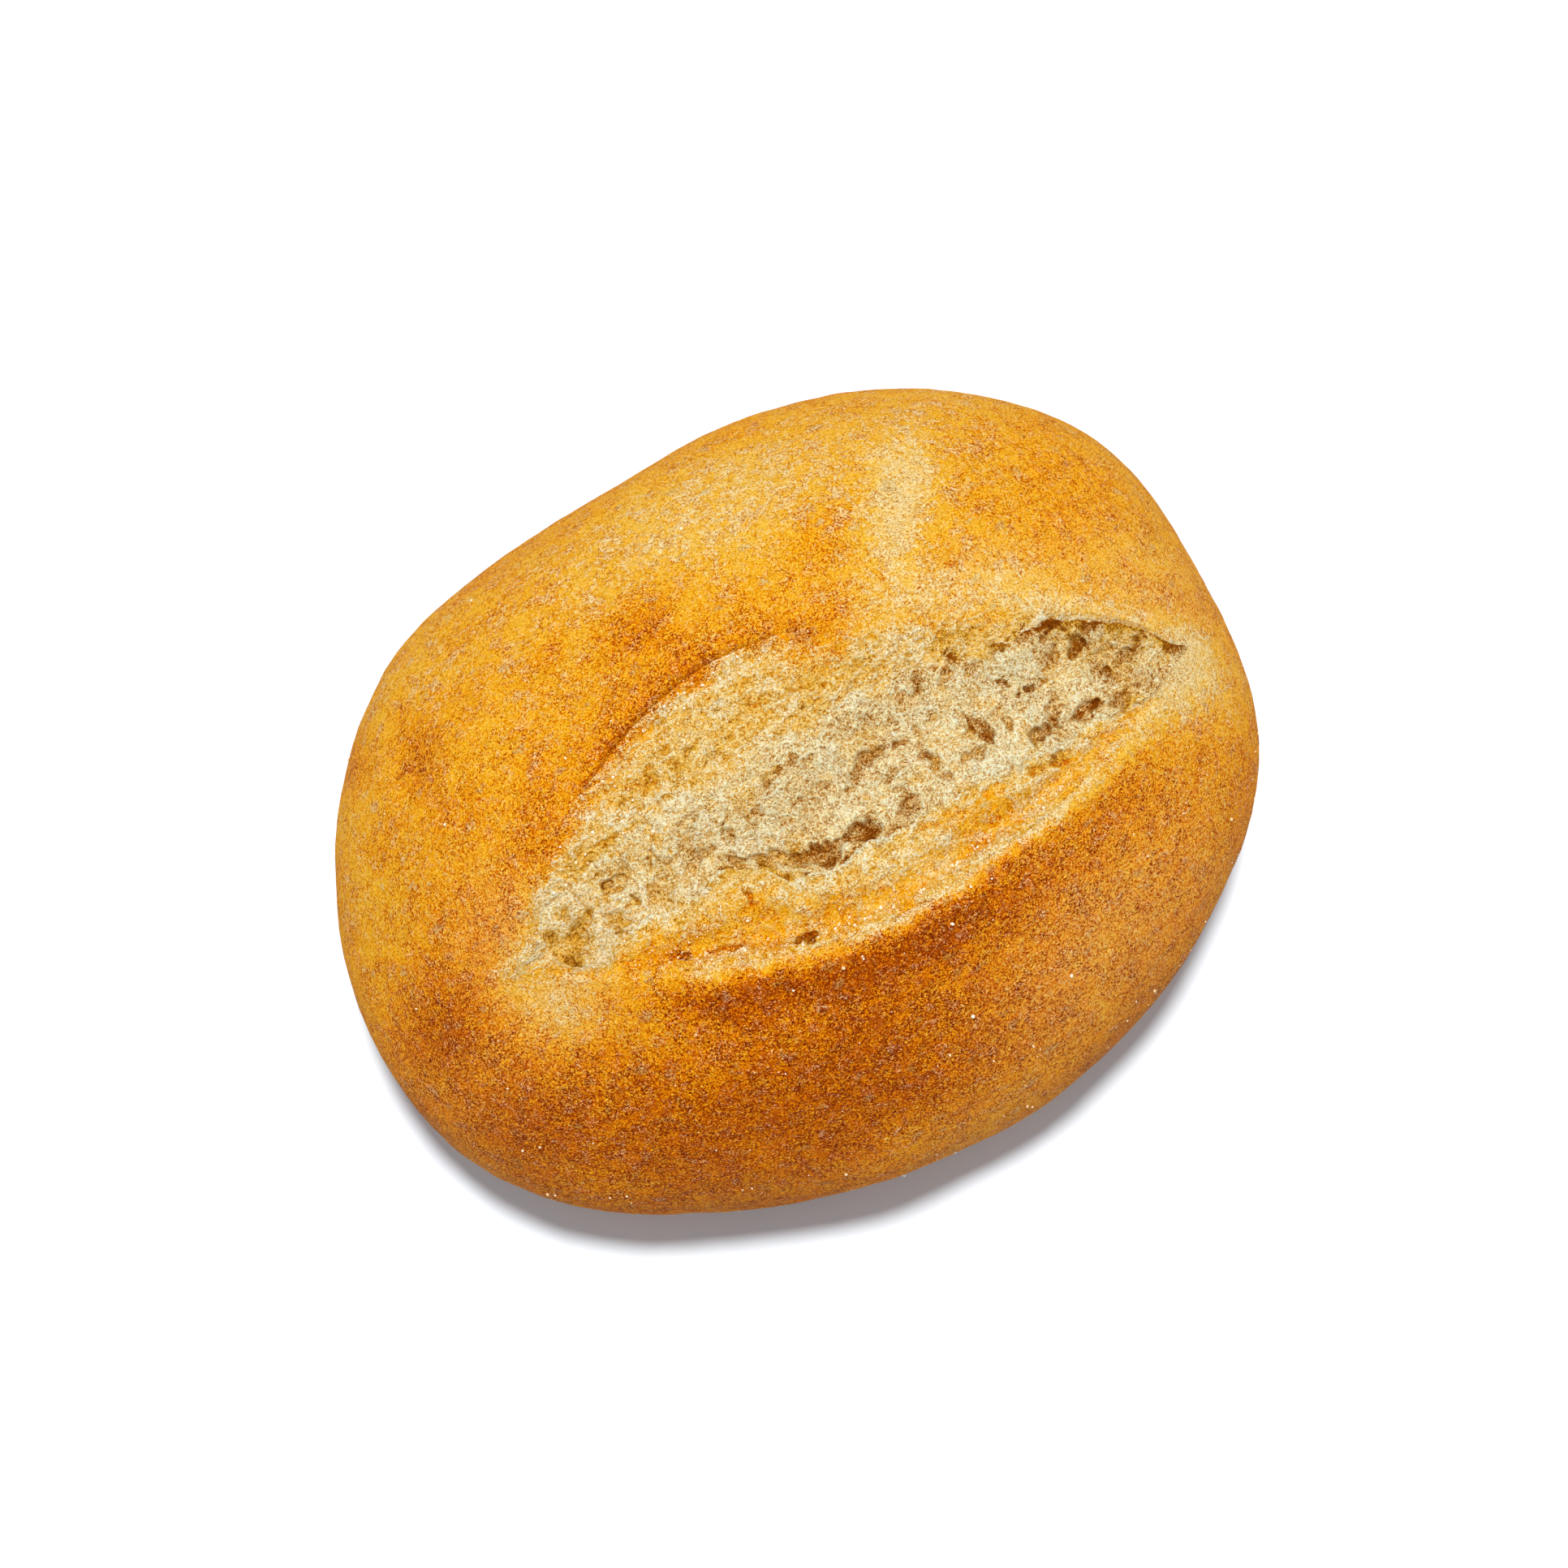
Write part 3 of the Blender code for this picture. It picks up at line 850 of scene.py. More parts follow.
@dataclass(frozen=True)
class WheatFinish:
    """Baked wheat dough, from pale torn crumb to dark crust.

    Real crust is a thin skin of browned starch over tiny blisters, so it is dull as a whole, and grainy. It
    mottles at about 1.5 mm, where paler blisters and darker cracks of the dough's skin lie. A stretched skin
    is golden and drier. Crumb is open foam: paler and rougher, and it lets light in, so its depth stays warm.

    The real grain is finer than 0.1 mm. It is drawn at 0.16 and 0.2 mm, as fine as it can be and still show.
    """

    name: str = "baked_wheat_dough"
    crust: tuple = (
        (0.00, "#ffd478"),
        (0.20, "#ffc43c"),
        (0.40, "#ffb30a"),
        (0.55, "#fb9c02"),
        (0.70, "#ec8100"),
        (0.85, "#d86900"),
        (1.00, "#bd5300"),
        (1.25, "#9a3c00"),
    )
    stretched: tuple = (
        (0.00, "#a4600f"),
        (0.25, "#e5a930"),
        (0.50, "#f4c04e"),
        (0.75, "#fad686"),
        (1.00, "#ffeec6"),
    )
    crumb: tuple = (
        (0.00, "#8c4606"),
        (0.25, "#c4832c"),
        (0.50, "#e8c37d"),
        (0.75, "#f8e6b1"),
        (1.00, "#fff5d2"),
    )
    # Flour and dry blisters on the palest and on the brownest skin
    flour: tuple = ("#ffe3a2", "#e2a24c")
    # What the colour is multiplied by between the tiny pits, and in them, where it paints shade
    clear: tuple = (1, 1, 1, 1)
    pitted: tuple = (0.6, 0.42, 0.24, 1)
    roughness: float = 0.66
    gloss: float = 0.02
    subsurface: float = 0.3
    bump: float = 0.8

    def material(self) -> bpy.types.Material:
        """Makes the finish.

        Browning comes from its attribute. By the crumb attribute, the stretched skin's colours take over at a
        half, and the crumb's at 1. Both run by the pale attribute.

        Returns:
            The material, for pieces with the attributes browning, crumb, pale and floury.
        """
        material, add = bare_material(self.name)
        browning, crumb, pale, floury = (
            add(FIELD, {"attribute_name": name}, "Fac") for name in ("browning", "crumb", "pale", "floury")
        )
        look = self.patterns(add)
        crust = self.crust_colour(add, look, browning)
        crust = self.dusted(add, look, crust, browning, floury)
        colour = self.torn_colour(add, look, crust, crumb, pale)
        shader = add(
            SHADER,
            Base_Color=colour,
            Roughness=add(MATH, SCALED, i0=look.mottled, i1=0.4, i2=self.roughness - 0.2),
            Normal=self.relief(add, look),
            IOR=1.45,
            Specular_IOR_Level=self.gloss,
            Subsurface_Weight=add(MATH, TIMES, i0=crumb, i1=self.subsurface),
            Subsurface_Radius=(1.0, 0.62, 0.3),
            Subsurface_Scale=0.9 * MM,
        )
        add(OUTPUT, Surface=shader)
        return material

    def patterns(self, add: Adder) -> Patterns:
        """Makes the patterns: slow, cloudy and mottled noise, grain, thin cracks and pale blisters.

        Args:
            add: Adds a node to the material.

        Returns:
            The patterns' sockets.
        """
        place = add("ShaderNodeTexCoord", out="Object")
        slow = add(NOISE, Vector=place, Scale=1 / (7 * MM), Detail=3)
        mottled = add(NOISE, Vector=place, Scale=1 / (1.5 * MM), Detail=5, Roughness=0.7, Distortion=0.6)
        cloud = add(NOISE, Vector=place, Scale=1 / (2.6 * MM), Detail=4, Roughness=0.65, Distortion=0.4)
        blotch = add(RANGE, Value=cloud, i1=0.36, i2=0.64)
        flecked = add(RANGE, Value=mottled, i1=0.36, i2=0.64)

        # The grain: cells of 0.16 mm, each with its own number, and noise of 0.2 mm
        fine = add(NOISE, Vector=place, Scale=1 / (0.2 * MM), Detail=1, Roughness=0.8, Distortion=1.0)
        grain = add(RANGE, Value=fine, i1=0.34, i2=0.66)
        wobble = add(NOISE, Vector=place, Scale=1 / (0.5 * MM), Detail=1, out="Color")
        shaken = add(VECTOR, SCALED, i0=wobble, i1=(0.3 * MM,) * 3, i2=place)
        speck = self.chances(add, shaken, 0.16 * MM)
        grainy = add(MATH, SCALED, i0=speck, i1=0.5, i2=add(MATH, TIMES, i0=grain, i1=0.5))

        # Flakes: every fifth cell of 0.45 mm
        flakes = add(RANGE, Value=self.chances(add, shaken, 0.45 * MM), i1=0.8, i2=0.95)

        # Thin cracks along the middle level of a 0.9 mm noise
        level = add(NOISE, Vector=place, Scale=1 / (0.9 * MM), Detail=2, Roughness=0.5, Distortion=1.0)
        off_level = add(MATH, ABSOLUTE, i0=add(MATH, MINUS, i0=level, i1=0.5))
        cracks = add(MATH, TIMES, i0=add(RANGE, Value=off_level, i1=0.035, i2=0.006), i1=blotch)

        # Pale blisters: the middles of some ragged cells of 1.7 mm, drawn out along the roll
        warp = add(NOISE, Vector=place, Scale=1 / (0.7 * MM), Detail=2, out="Color")
        bent = add(VECTOR, SCALED, i0=warp, i1=(1.6 * MM,) * 3, i2=place)
        drawn = add(VECTOR, TIMES, i0=bent, i1=(0.6, 1.0, 1.0))
        middle = add(CELLS, Vector=drawn, Scale=1 / (1.7 * MM), out="Distance")
        reach = add(RANGE, Value=self.chances(add, drawn, 1.7 * MM), i1=0.62, i2=1.0, i4=0.36)
        past = add(MATH, MINUS, i0=reach, i1=middle)
        inside = add(RANGE, Value=past, i1=0.0, i2=0.07)
        blisters = add(MATH, TIMES, i0=inside, i1=add(RANGE, Value=grainy, i1=1.0, i2=0.3))
        edge = add(RANGE, Value=add(MATH, ABSOLUTE, i0=past), i1=0.035, i2=0.0)
        rims = add(MATH, TIMES, i0=edge, i1=add(RANGE, Value=mottled, i1=0.46, i2=0.54))
        return Patterns(slow, mottled, blotch, level, grainy, flecked, flakes, cracks, blisters, rims)

    @staticmethod
    def chances(add: Adder, place: Socket, size: float) -> Socket:
        """A random number from 0 to 1 for each cell of a size."""
        return add(SPLIT_COLOUR, Color=add(CELLS, Vector=place, Scale=1 / size, out="Color"))

    def crust_colour(self, add: Adder, look: Patterns, browning: Socket) -> Socket:
        """The bare crust's colour: a ramp by browning, which the patterns shade.

        Args:
            add: Adds a node to the material.
            look: The patterns.
            browning: How brown each place is.

        Returns:
            The colour's socket.
        """
        # The browner the skin, the grainier it looks
        contrast = add(RANGE, Value=browning, i1=0.25, i2=0.8, i3=0.36, i4=1.25)
        contrast = add(MATH, TIMES, i0=contrast, i1=add(RANGE, Value=look.blotch, i3=0.6, i4=1.4))
        grains = add(MATH, MINUS, i0=look.grainy, i1=0.61)
        grains = add(MATH, SCALED, i0=look.flecked, i1=0.22, i2=grains)
        shade = add(MATH, SCALED, i0=grains, i1=contrast, i2=browning)
        shares = ((look.slow, 0.36), (look.blotch, 0.1))
        for pattern, share in shares:
            shade = add(MATH, SCALED, i0=pattern, i1=share, i2=shade)
        shade = add(MATH, SCALED, i0=look.cracks, i1=0.28, i2=shade)
        shade = add(MATH, MINUS, i0=shade, i1=sum(share for _, share in shares) / 2)
        return add(RAMP, {"stops": self.crust}, Fac=add(MATH, TIMES, i0=shade, i1=1 / self.crust[-1][0]))

    def dusted(self, add: Adder, look: Patterns, crust: Socket, browning: Socket, floury: Socket) -> Socket:
        """The crust's colour under flour, pale blisters, flakes, and cream patches of 1 to 3 mm.

        Args:
            add: Adds a node to the material.
            look: The patterns.
            crust: The bare crust's colour.
            browning: How brown each place is.
            floury: Share of each place that flour dulls.

        Returns:
            The colour's socket.
        """
        dust = add(RANGE, Value=look.grainy, i1=1.0, i2=0.0, i3=0.2, i4=0.8)
        dust = add(MATH, TIMES, i0=floury, i1=dust)
        # The paler the skin, the more of it the cream patches cover
        patchy = add(MATH, SCALED, i0=add(RANGE, Value=look.level, i1=0.38, i2=0.62), i1=0.4, i2=-0.5)
        patchy = add(MATH, SCALED, i0=look.blotch, i1=0.35, i2=patchy)
        patchy = add(MATH, SCALED, i0=add(MATH, MINUS, i0=1.0, i1=look.grainy), i1=0.25, i2=patchy)
        pallor = add(RANGE, Value=browning, i1=0.5, i2=0.1, i3=-0.7, i4=0.8)
        creamy = add(MATH, CLAMPED, i0=patchy, i1=2.6, i2=pallor)
        for pattern, share in ((look.blisters, 0.5), (look.rims, 0.4), (look.flakes, 0.24), (creamy, 0.8)):
            dust = add(MATH, SCALED, i0=pattern, i1=share, i2=dust)
        dry = add(RANGE, Value=look.grainy, i1=0.8, i2=0.4, i3=0.05, i4=1.25)
        dust = add(MATH, {**TIMES, "use_clamp": True}, i0=dust, i1=dry)
        palest, brownest = (linear(code) for code in self.flour)
        brown = add(RANGE, Value=browning, i1=0.25, i2=0.85)
        dusty = add(MIX, COLOURS, 2, i0=brown, i6=palest, i7=brownest)
        return add(MIX, COLOURS, 2, i0=dust, i6=crust, i7=dusty)

    def torn_colour(self, add: Adder, look: Patterns, crust: Socket, crumb: Socket, pale: Socket) -> Socket:
        """The whole colour: crust, stretched skin and crumb with ragged borders, and tiny dark pits over all.

        Args:
            add: Adds a node to the material.
            look: The patterns.
            crust: The crust's colour.
            crumb: 0 on crust, a half on stretched skin, and 1 on crumb.
            pale: How pale the stretched skin or the crumb is.

        Returns:
            The colour's socket.
        """
        wool = add(MATH, SCALED, i0=look.grainy, i1=-0.9, i2=pale)
        wool = add(MATH, SCALED, i0=look.flecked, i1=0.13, i2=wool)
        wool = add(MATH, PLUS, i0=wool, i1=0.385)
        stretched = add(RAMP, {"stops": self.stretched}, Fac=wool)
        soft = add(RAMP, {"stops": self.crumb}, Fac=wool)
        frayed = add(MATH, SCALED, i0=look.grainy, i1=-0.3, i2=crumb)
        frayed = add(MATH, SCALED, i0=look.mottled, i1=0.8, i2=frayed)
        frayed = add(MATH, MINUS, i0=frayed, i1=0.25)
        skin = add(MIX, COLOURS, 2, i0=add(RANGE, Value=frayed, i1=0.1, i2=0.42), i6=crust, i7=stretched)
        colour = add(MIX, COLOURS, 2, i0=add(RANGE, Value=frayed, i1=0.6, i2=0.95), i6=skin, i7=soft)
        # Painted shade in the tiny pits, deeper under the blotches
        deepest = add(RANGE, Value=look.blotch, i3=0.65, i4=1.25)
        pits = add(RANGE, Value=look.grainy, i1=0.5, i2=0.85, i4=deepest)
        pit_shade = add(MIX, COLOURS, 2, i0=pits, i6=self.clear, i7=self.pitted)
        return add(MIX, {**COLOURS, "blend_type": "MULTIPLY"}, 2, i0=1.0, i6=colour, i7=pit_shade)

    def relief(self, add: Adder, look: Patterns) -> Socket:
        """The bumps of mottling and blisters, less the pits of grain and cracks."""
        height = add(MATH, SCALED, i0=look.grainy, i1=-0.4, i2=look.mottled)
        for pattern, share in ((look.blisters, 0.25), (look.rims, 0.2), (look.cracks, -0.15)):
            height = add(MATH, SCALED, i0=pattern, i1=share, i2=height)
        return add("ShaderNodeBump", Strength=self.bump, Distance=0.8 * MM, Height=height)


@dataclass(frozen=True)
class FlourFinish:
    """Wheat flour and semolina: starch grains, white and dull with a small clear glint."""

    name: str = "wheat_flour"
    colour: str = "#fdf3dc"
    browned: str = "#e6b76f"
    roughness: float = 0.35

    def dress(self, piece: bpy.types.Object) -> None:
        """Gives the piece this finish, each grain a little lighter or browner by its own number."""
        material, add = bare_material(self.name)
        own = add(FIELD, {"attribute_name": "own"}, "Fac")
        colour = add(MIX, COLOURS, 2, i0=own, i6=linear(self.colour), i7=linear(self.browned))
        shader = add(SHADER, Base_Color=colour, Roughness=self.roughness)
        add(OUTPUT, Surface=shader)
        piece.data.materials.append(material)


@dataclass(frozen=True)
class CrustBody:
    """The browned crust: the whole roll as a closed mesh, hollow under the split, where the others lie."""

    columns: int = 296
    nose_rows: int = 12
    valley_rows: int = 7
    sharp: float = 70.0
    nose_width: float = 2.6
    nose_height: float = 1.7
    overhang: float = 98.0
    valley_depth: float = 7.0
    cover: float = 0.35
    under: float = 0.05
    # Length and spacing of the rows from a lip round to the middle of the heel
    spacing: tuple = ((4, 0.3), (42, 0.46), (26, 0.8), (38, 2.4))

    def schedule(self) -> Array:
        """Shares of the way from a lip to the middle of the heel, after the lip itself and up to 1."""
        steps = np.concatenate([np.full(round(length / step), step) for length, step in self.spacing])
        return np.cumsum(steps) / steps.sum()

    def turn_to(self, ball_x: Array, side: int) -> Array:
        """The turn about X at which each ring crosses the outer edge of a lip's nose, found by halving.

        Args:
            ball_x: Ball height of each ring.
            side: 1 for the upper lip and -1 for the lower one.

        Returns:
            Turns from the top, in radians.
        """
        low = np.full_like(ball_x, -math.pi / 2)
        high = np.full_like(ball_x, math.pi / 2)
        for _ in range(40):
            middle = (low + high) / 2
            spot = on_ring(ball_x, middle)
            edge = SPLIT.lip_row(spot[..., 0], side) + side * self.nose_width * SPLIT.near_pole(spot[..., 0])
            short = spot[..., 1] < edge
            low = np.where(short, middle, low)
            high = np.where(short, high, middle)
        return (low + high) / 2

    def flank(self, ball_x: Array, turn: Array, side: int) -> Array:
        """Rows of the plain body from a lip's nose round to the middle of the heel."""
        share = np.concatenate(([0.0], self.schedule()))[:, None]
        return on_ring(ball_x[None, :], turn[None, :] + side * share * (math.pi - side * turn[None, :]))

    def nose(self, edge: Array, side: int) -> tuple[Array, Array, Array]:
        """A lip's rounded nose and the wall under it.

        Going in from the outer edge, the nose is a quarter of an ellipse and a little more, so it hangs over:
        the distance from the lip is width (1 - sin a), and the drop is height (1 - cos a). Where the lip
        fades, the rows lie evenly on the plain dome instead.

        Args:
            edge: Points of the nose's outer edge, one for each ring.
            side: 1 for the upper lip and -1 for the lower one.

        Returns:
            Places along and across the roll, and heights over the plain dome, by row and ring.
        """
        angles = np.radians(np.linspace(0, self.overhang, self.nose_rows + 1)[1:])[:, None]
        x = edge[None, :, 0] + 0 * angles
        span = SPLIT.upper_span if side > 0 else SPLIT.lower_span
        full = SPLIT.full(x, span)
        lip = SPLIT.lip_row(x, side)
        width = side * (edge[None, :, 1] - lip)
        hung = width * (1 - np.sin(angles))
        even = width * np.linspace(1, -0.7, self.nose_rows + 1)[1:, None]
        away = even + full * (hung - even)
        y = lip + side * away
        shelf = SPLIT.upper_shelf(x, y) if side > 0 else SPLIT.lower_shelf(x, y)
        dip = self.valley_depth * smooth(-0.42, -0.7, even / self.nose_width) * SPLIT.opening(x)
        plain = self.under * smooth(0.1, -0.1, even / self.nose_width) - np.where(away < 0, shelf, 0) + dip
        drop = full * self.nose_height * (1 - np.cos(angles)) + (1 - full) * plain
        swell = SPLIT.swell(x, np.where(away > 0, y, lip + side * 1e-3))
        return x, y, swell - drop

    def build(self) -> tuple[bpy.types.Object, Array]:
        """Makes the crust.

        Returns:
            The piece, and its grid of points in the form's own plan.
        """
        ball_x = plain_rings(self.columns)
        upper_turn, lower_turn = self.turn_to(ball_x, 1), self.turn_to(ball_x, -1)
        upper, lower = self.flank(ball_x, upper_turn, 1), self.flank(ball_x, lower_turn, -1)
        lift_upper = SPLIT.swell(upper[..., 0], upper[..., 1]) * FORM.top(upper)
        lift_lower = SPLIT.swell(lower[..., 0], lower[..., 1]) * FORM.top(lower)
        upper_nose, lower_nose = self.nose(upper[0], 1), self.nose(lower[0], -1)

        share = np.linspace(0, 1, self.valley_rows + 2)[1:-1, None]
        low_x, low_y = lower_nose[0][-1], lower_nose[1][-1]
        high_x, high_y = upper_nose[0][-1], upper_nose[1][-1]
        valley_x = low_x + share * (high_x - low_x)
        valley_y = low_y + share * (high_y - low_y)
        way = SPLIT.chord(valley_x)[1]
        cover = self.cover * smooth(0, 0.02, way) * smooth(1, 0.98, way)
        floor = -self.valley_depth * SPLIT.opening(valley_x) - cover

        inner_x = np.concatenate((lower_nose[0], valley_x, upper_nose[0][::-1]))
        inner_y = np.concatenate((lower_nose[1], valley_y, upper_nose[1][::-1]))
        inner_lift = np.concatenate((lower_nose[2], floor, upper_nose[2][::-1]))
        plain = np.concatenate((lower[::-1], FORM.dome(inner_x, inner_y), upper[:-1]))
        lift = np.concatenate((lift_lower[::-1], inner_lift, lift_upper[:-1]))
        points = FORM.lifted(plain, lift)
        points[..., 2] = np.maximum(points[..., 2], 0)
        crest = BROWNING.crest(plain[..., 0], plain[..., 1]) * FORM.top(plain)
        crest = np.maximum(crest, SPLIT.beside_tear(plain[..., 0], plain[..., 1], 0.8) * FORM.top(plain))
        flaky = bell(plain, -34.5, -3.2, 2.4, 1.1, -20) * FORM.top(plain)
        fields = {
            "browning": BROWNING.at(plain),
            "crumb": np.maximum(0.35 * crest, 0.6 * flaky),
            "pale": np.full_like(flaky, 0.75),
            "floury": BROWNING.floury(plain),
        }
        return tube_piece("roll_crust", placed(points), fields, self.sharp), points


@dataclass(frozen=True)
class Foam:
    """Torn bread foam: the split's large pockets by place, small bubbles between them, and woolly fibres."""

    # Place along and across, reach along and across, turn in degrees, depth
    pockets: tuple = (
        (-34.6, -3.4, 0.7, 0.35, -20, 1.0),
        (-33.0, -4.1, 0.5, 0.35, -20, 1.0),
        (-29.2, -6.6, 1.4, 0.35, -48, 1.1),
        (-30.4, -5.0, 0.6, 0.9, 10, 1.8),
        (-31.2, -2.0, 0.6, 0.8, 0, 0.7),
        (-27.0, -2.4, 1.7, 0.7, 35, 1.5),
        (-27.9, -0.6, 0.8, 0.5, 60, 0.6),
        (-23.4, 1.1, 0.9, 0.5, 10, 0.7),
        (-23.3, -3.8, 1.3, 0.9, 0, 1.0),
        (-22.0, -0.6, 1.3, 0.6, 15, 1.2),
        (-21.2, -2.6, 0.3, 0.7, 10, 1.1),
        (-24.0, -4.9, 0.5, 0.3, 0, 1.2),
        (-22.8, -4.3, 0.5, 0.5, 0, 1.2),
        (-19.3, 1.9, 0.9, 0.5, 10, 0.9),
        (-17.8, -3.1, 1.9, 1.6, 20, 0.7),
        (-16.8, -6.0, 1.9, 0.6, 0, 1.4),
        (-13.1, -2.3, 1.9, 0.8, 10, 0.8),
        (-12.2, -5.8, 1.5, 0.7, 0, 1.3),
        (-12.0, 1.6, 1.3, 0.5, 10, 0.8),
        (-9.6, -1.2, 0.9, 0.3, 50, 0.8),
        (-9.6, -4.7, 1.5, 0.5, -38, 1.1),
        (-6.6, -6.2, 2.2, 0.8, -32, 1.3),
        (-4.4, -7.4, 1.8, 0.8, -30, 1.5),
        (-5.8, -0.7, 0.9, 0.6, 0, 0.6),
        (-2.5, 0.9, 1.6, 0.5, 15, 0.8),
        (-1.9, -8.6, 2.3, 1.1, -8, 1.8),
        (2.2, 0.6, 1.2, 0.4, 10, 0.7),
        (2.0, -2.2, 1.0, 0.6, 0, 0.5),
        (0.9, -8.9, 1.5, 0.6, 0, 1.4),
        (3.6, -8.5, 2.0, 1.2, 15, 2.0),
        (8.0, -2.1, 1.7, 0.6, 5, 1.3),
        (8.9, -8.5, 1.5, 0.8, 5, 1.4),
        (11.2, -2.5, 0.7, 0.5, 0, 0.8),
        (11.7, -9.9, 1.2, 0.35, 0, 0.8),
        (13.5, -5.5, 0.7, 1.8, 10, 0.7),
        (14.3, -7.6, 0.6, 0.5, 0, 1.2),
        (15.2, 1.2, 2.2, 0.8, 12, 0.7),
        (15.6, -10.2, 1.3, 0.6, 0, 1.2),
        (17.6, -7.1, 1.5, 0.5, 10, 1.3),
        (18.8, -4.8, 1.2, 0.8, 25, 1.0),
        (20.4, -5.8, 0.6, 1.3, 0, 1.6),
        (19.4, 3.4, 1.8, 0.35, -14, 1.0),
        (21.2, 2.9, 0.7, 0.5, -25, 1.4),
        (22.4, -6.0, 0.6, 1.1, -25, 1.0),
        (22.2, -4.2, 1.4, 0.9, 10, 0.5),
        (22.2, 0.9, 1.4, 0.9, 0, 0.6),
        (24.4, -1.7, 0.35, 0.4, 0, 1.0),
        (25.0, -3.6, 0.4, 0.4, 0, 1.0),
        (25.2, -8.4, 1.2, 1.0, 0, 2.0),
        (26.8, -3.7, 0.6, 0.7, 20, 1.8),
        (27.2, -7.9, 0.5, 0.9, 30, 1.6),
        (27.9, -6.4, 1.0, 1.1, 0, 0.8),
        (26.2, 1.8, 1.4, 0.4, 10, 1.2),
        (28.8, 2.0, 1.3, 0.5, -5, 1.5),
        (31.0, 1.0, 1.3, 0.4, -28, 1.2),
        (30.8, -8.6, 1.6, 0.7, 10, 1.6),
        (32.0, 0.6, 1.4, 0.5, -25, 1.0),
        (33.4, -1.8, 1.2, 1.1, 0, 2.0),
        (34.9, -9.0, 1.6, 0.9, 15, 1.3),
        (35.1, -5.8, 0.5, 0.5, 0, 1.0),
        (36.5, -1.1, 1.8, 0.6, -5, 1.2),
        (38.3, -5.0, 1.1, 0.5, 10, 1.1),
        (40.8, -3.8, 1.6, 0.5, 10, 1.4),
        (43.2, -6.0, 1.0, 1.2, 20, 1.4),
        (44.5, -6.4, 0.4, 0.8, 35, 1.2),
    )

    def at(self, x: Array, y: Array) -> tuple[Array, Array]:
        """Height and paleness of the foam.

        The places are first warped by hills, which makes every bubble ragged. A pocket goes down steeply at
        its ellipse's line. Small bubbles of two sizes lie between, and fine strands over all.

        Args:
            x: Places along the roll.
            y: Places across it.

        Returns:
            Heights over the trough's floor, and paleness from 0 in the deepest pockets to 1 on thin walls.
            The paleness carries painted shade in pockets, bubbles and creases, and painted light on thin
            walls.
        """
        coarse, fine = plan(x, y), plan(y, x)
        warped_x = x + 0.6 * hills(coarse, 1.4, 81) + 0.3 * hills(coarse, 0.5, 82)
        warped_y = y + 0.6 * hills(fine, 1.4, 83) + 0.3 * hills(fine, 0.5, 84)
        depth = np.zeros_like(x)
        dark = np.zeros_like(x)
        rim = np.zeros_like(x)
        # shadow and dark are painted shade in each pocket, and rim marks the thin wall round it
        for *spot, deep in self.pockets:
            away = ellipse(warped_x, warped_y, *spot)
            depth = np.maximum(depth, 0.62 * deep * smooth(1.3, 0.6, away))
            shadow = 0.74 * smooth(1.25, 0.85, away) + 0.26 * smooth(2.3, 1.0, away)
            dark = np.maximum(dark, min(1, 0.2 + deep / 2.2) * shadow)
            rim = np.maximum(rim, falloff(away - 1.35, 0.16))
        medium, wall = bubbles(warped_x, warped_y, 1.7, (0.3, 1.05), 87, 0.62)
        small, thin = bubbles(warped_x, warped_y, 0.55, (0.12, 0.32), 91, 0.8)
        woolly = strands(x, y, 0.8, 0.26, 95)
        rolling = hills(plan(x, y), 4.5, 97, 3)
        walls = np.maximum(np.maximum(rim, wall), 0.6 * thin) * (1 - dark)
        height = 0.55 * rolling - depth - 0.38 * medium - 0.45 * small + 0.1 * woolly + 0.12 * walls
        leftward = smooth(-2, -20, x)
        # Creases are cut into the height, and painted shade darkens them in the paleness
        crease = smooth(0.13, 0.0, np.abs(hills(plan(x, y), 1.9, 105, 2)))
        crease = crease * smooth(-0.3, 0.3, hills(plan(x, y), 4, 107)) * (0.45 + 0.55 * leftward)
        height = height - 0.45 * crease
        # The painted shade in the pockets is patchy, darker in some places than in others
        shade_patchiness = 0.8 + 0.4 * hills(plan(x, y), 0.7, 99, 2)
        dots = smooth(0.7, 0.85, hills(plan(x, y), 0.8, 101, 2))
        # Paleness: painted shade in pockets, bubbles and creases, and painted light on thin walls
        pale = 0.67 - 0.54 * dark * shade_patchiness - 0.16 * medium / 0.6 - 0.08 * small / 0.3
        pale = pale + 0.14 * walls + 0.08 * woolly + 0.12 * rolling - 0.15 * dots - 0.36 * crease
        pale = pale + 0.12 * leftward + 0.05 * smooth(10, 18, x) - 0.16 * smooth(26, 32, x)
        pale = pale - 0.3 * bell(plan(x, y), -29.4, -3.8, 2.2, 2.6, 0)
        return height, pale


FOAM = Foam()


class Side(Enum):
    """Which shelf of the split."""

    UPPER = 1
    LOWER = -1


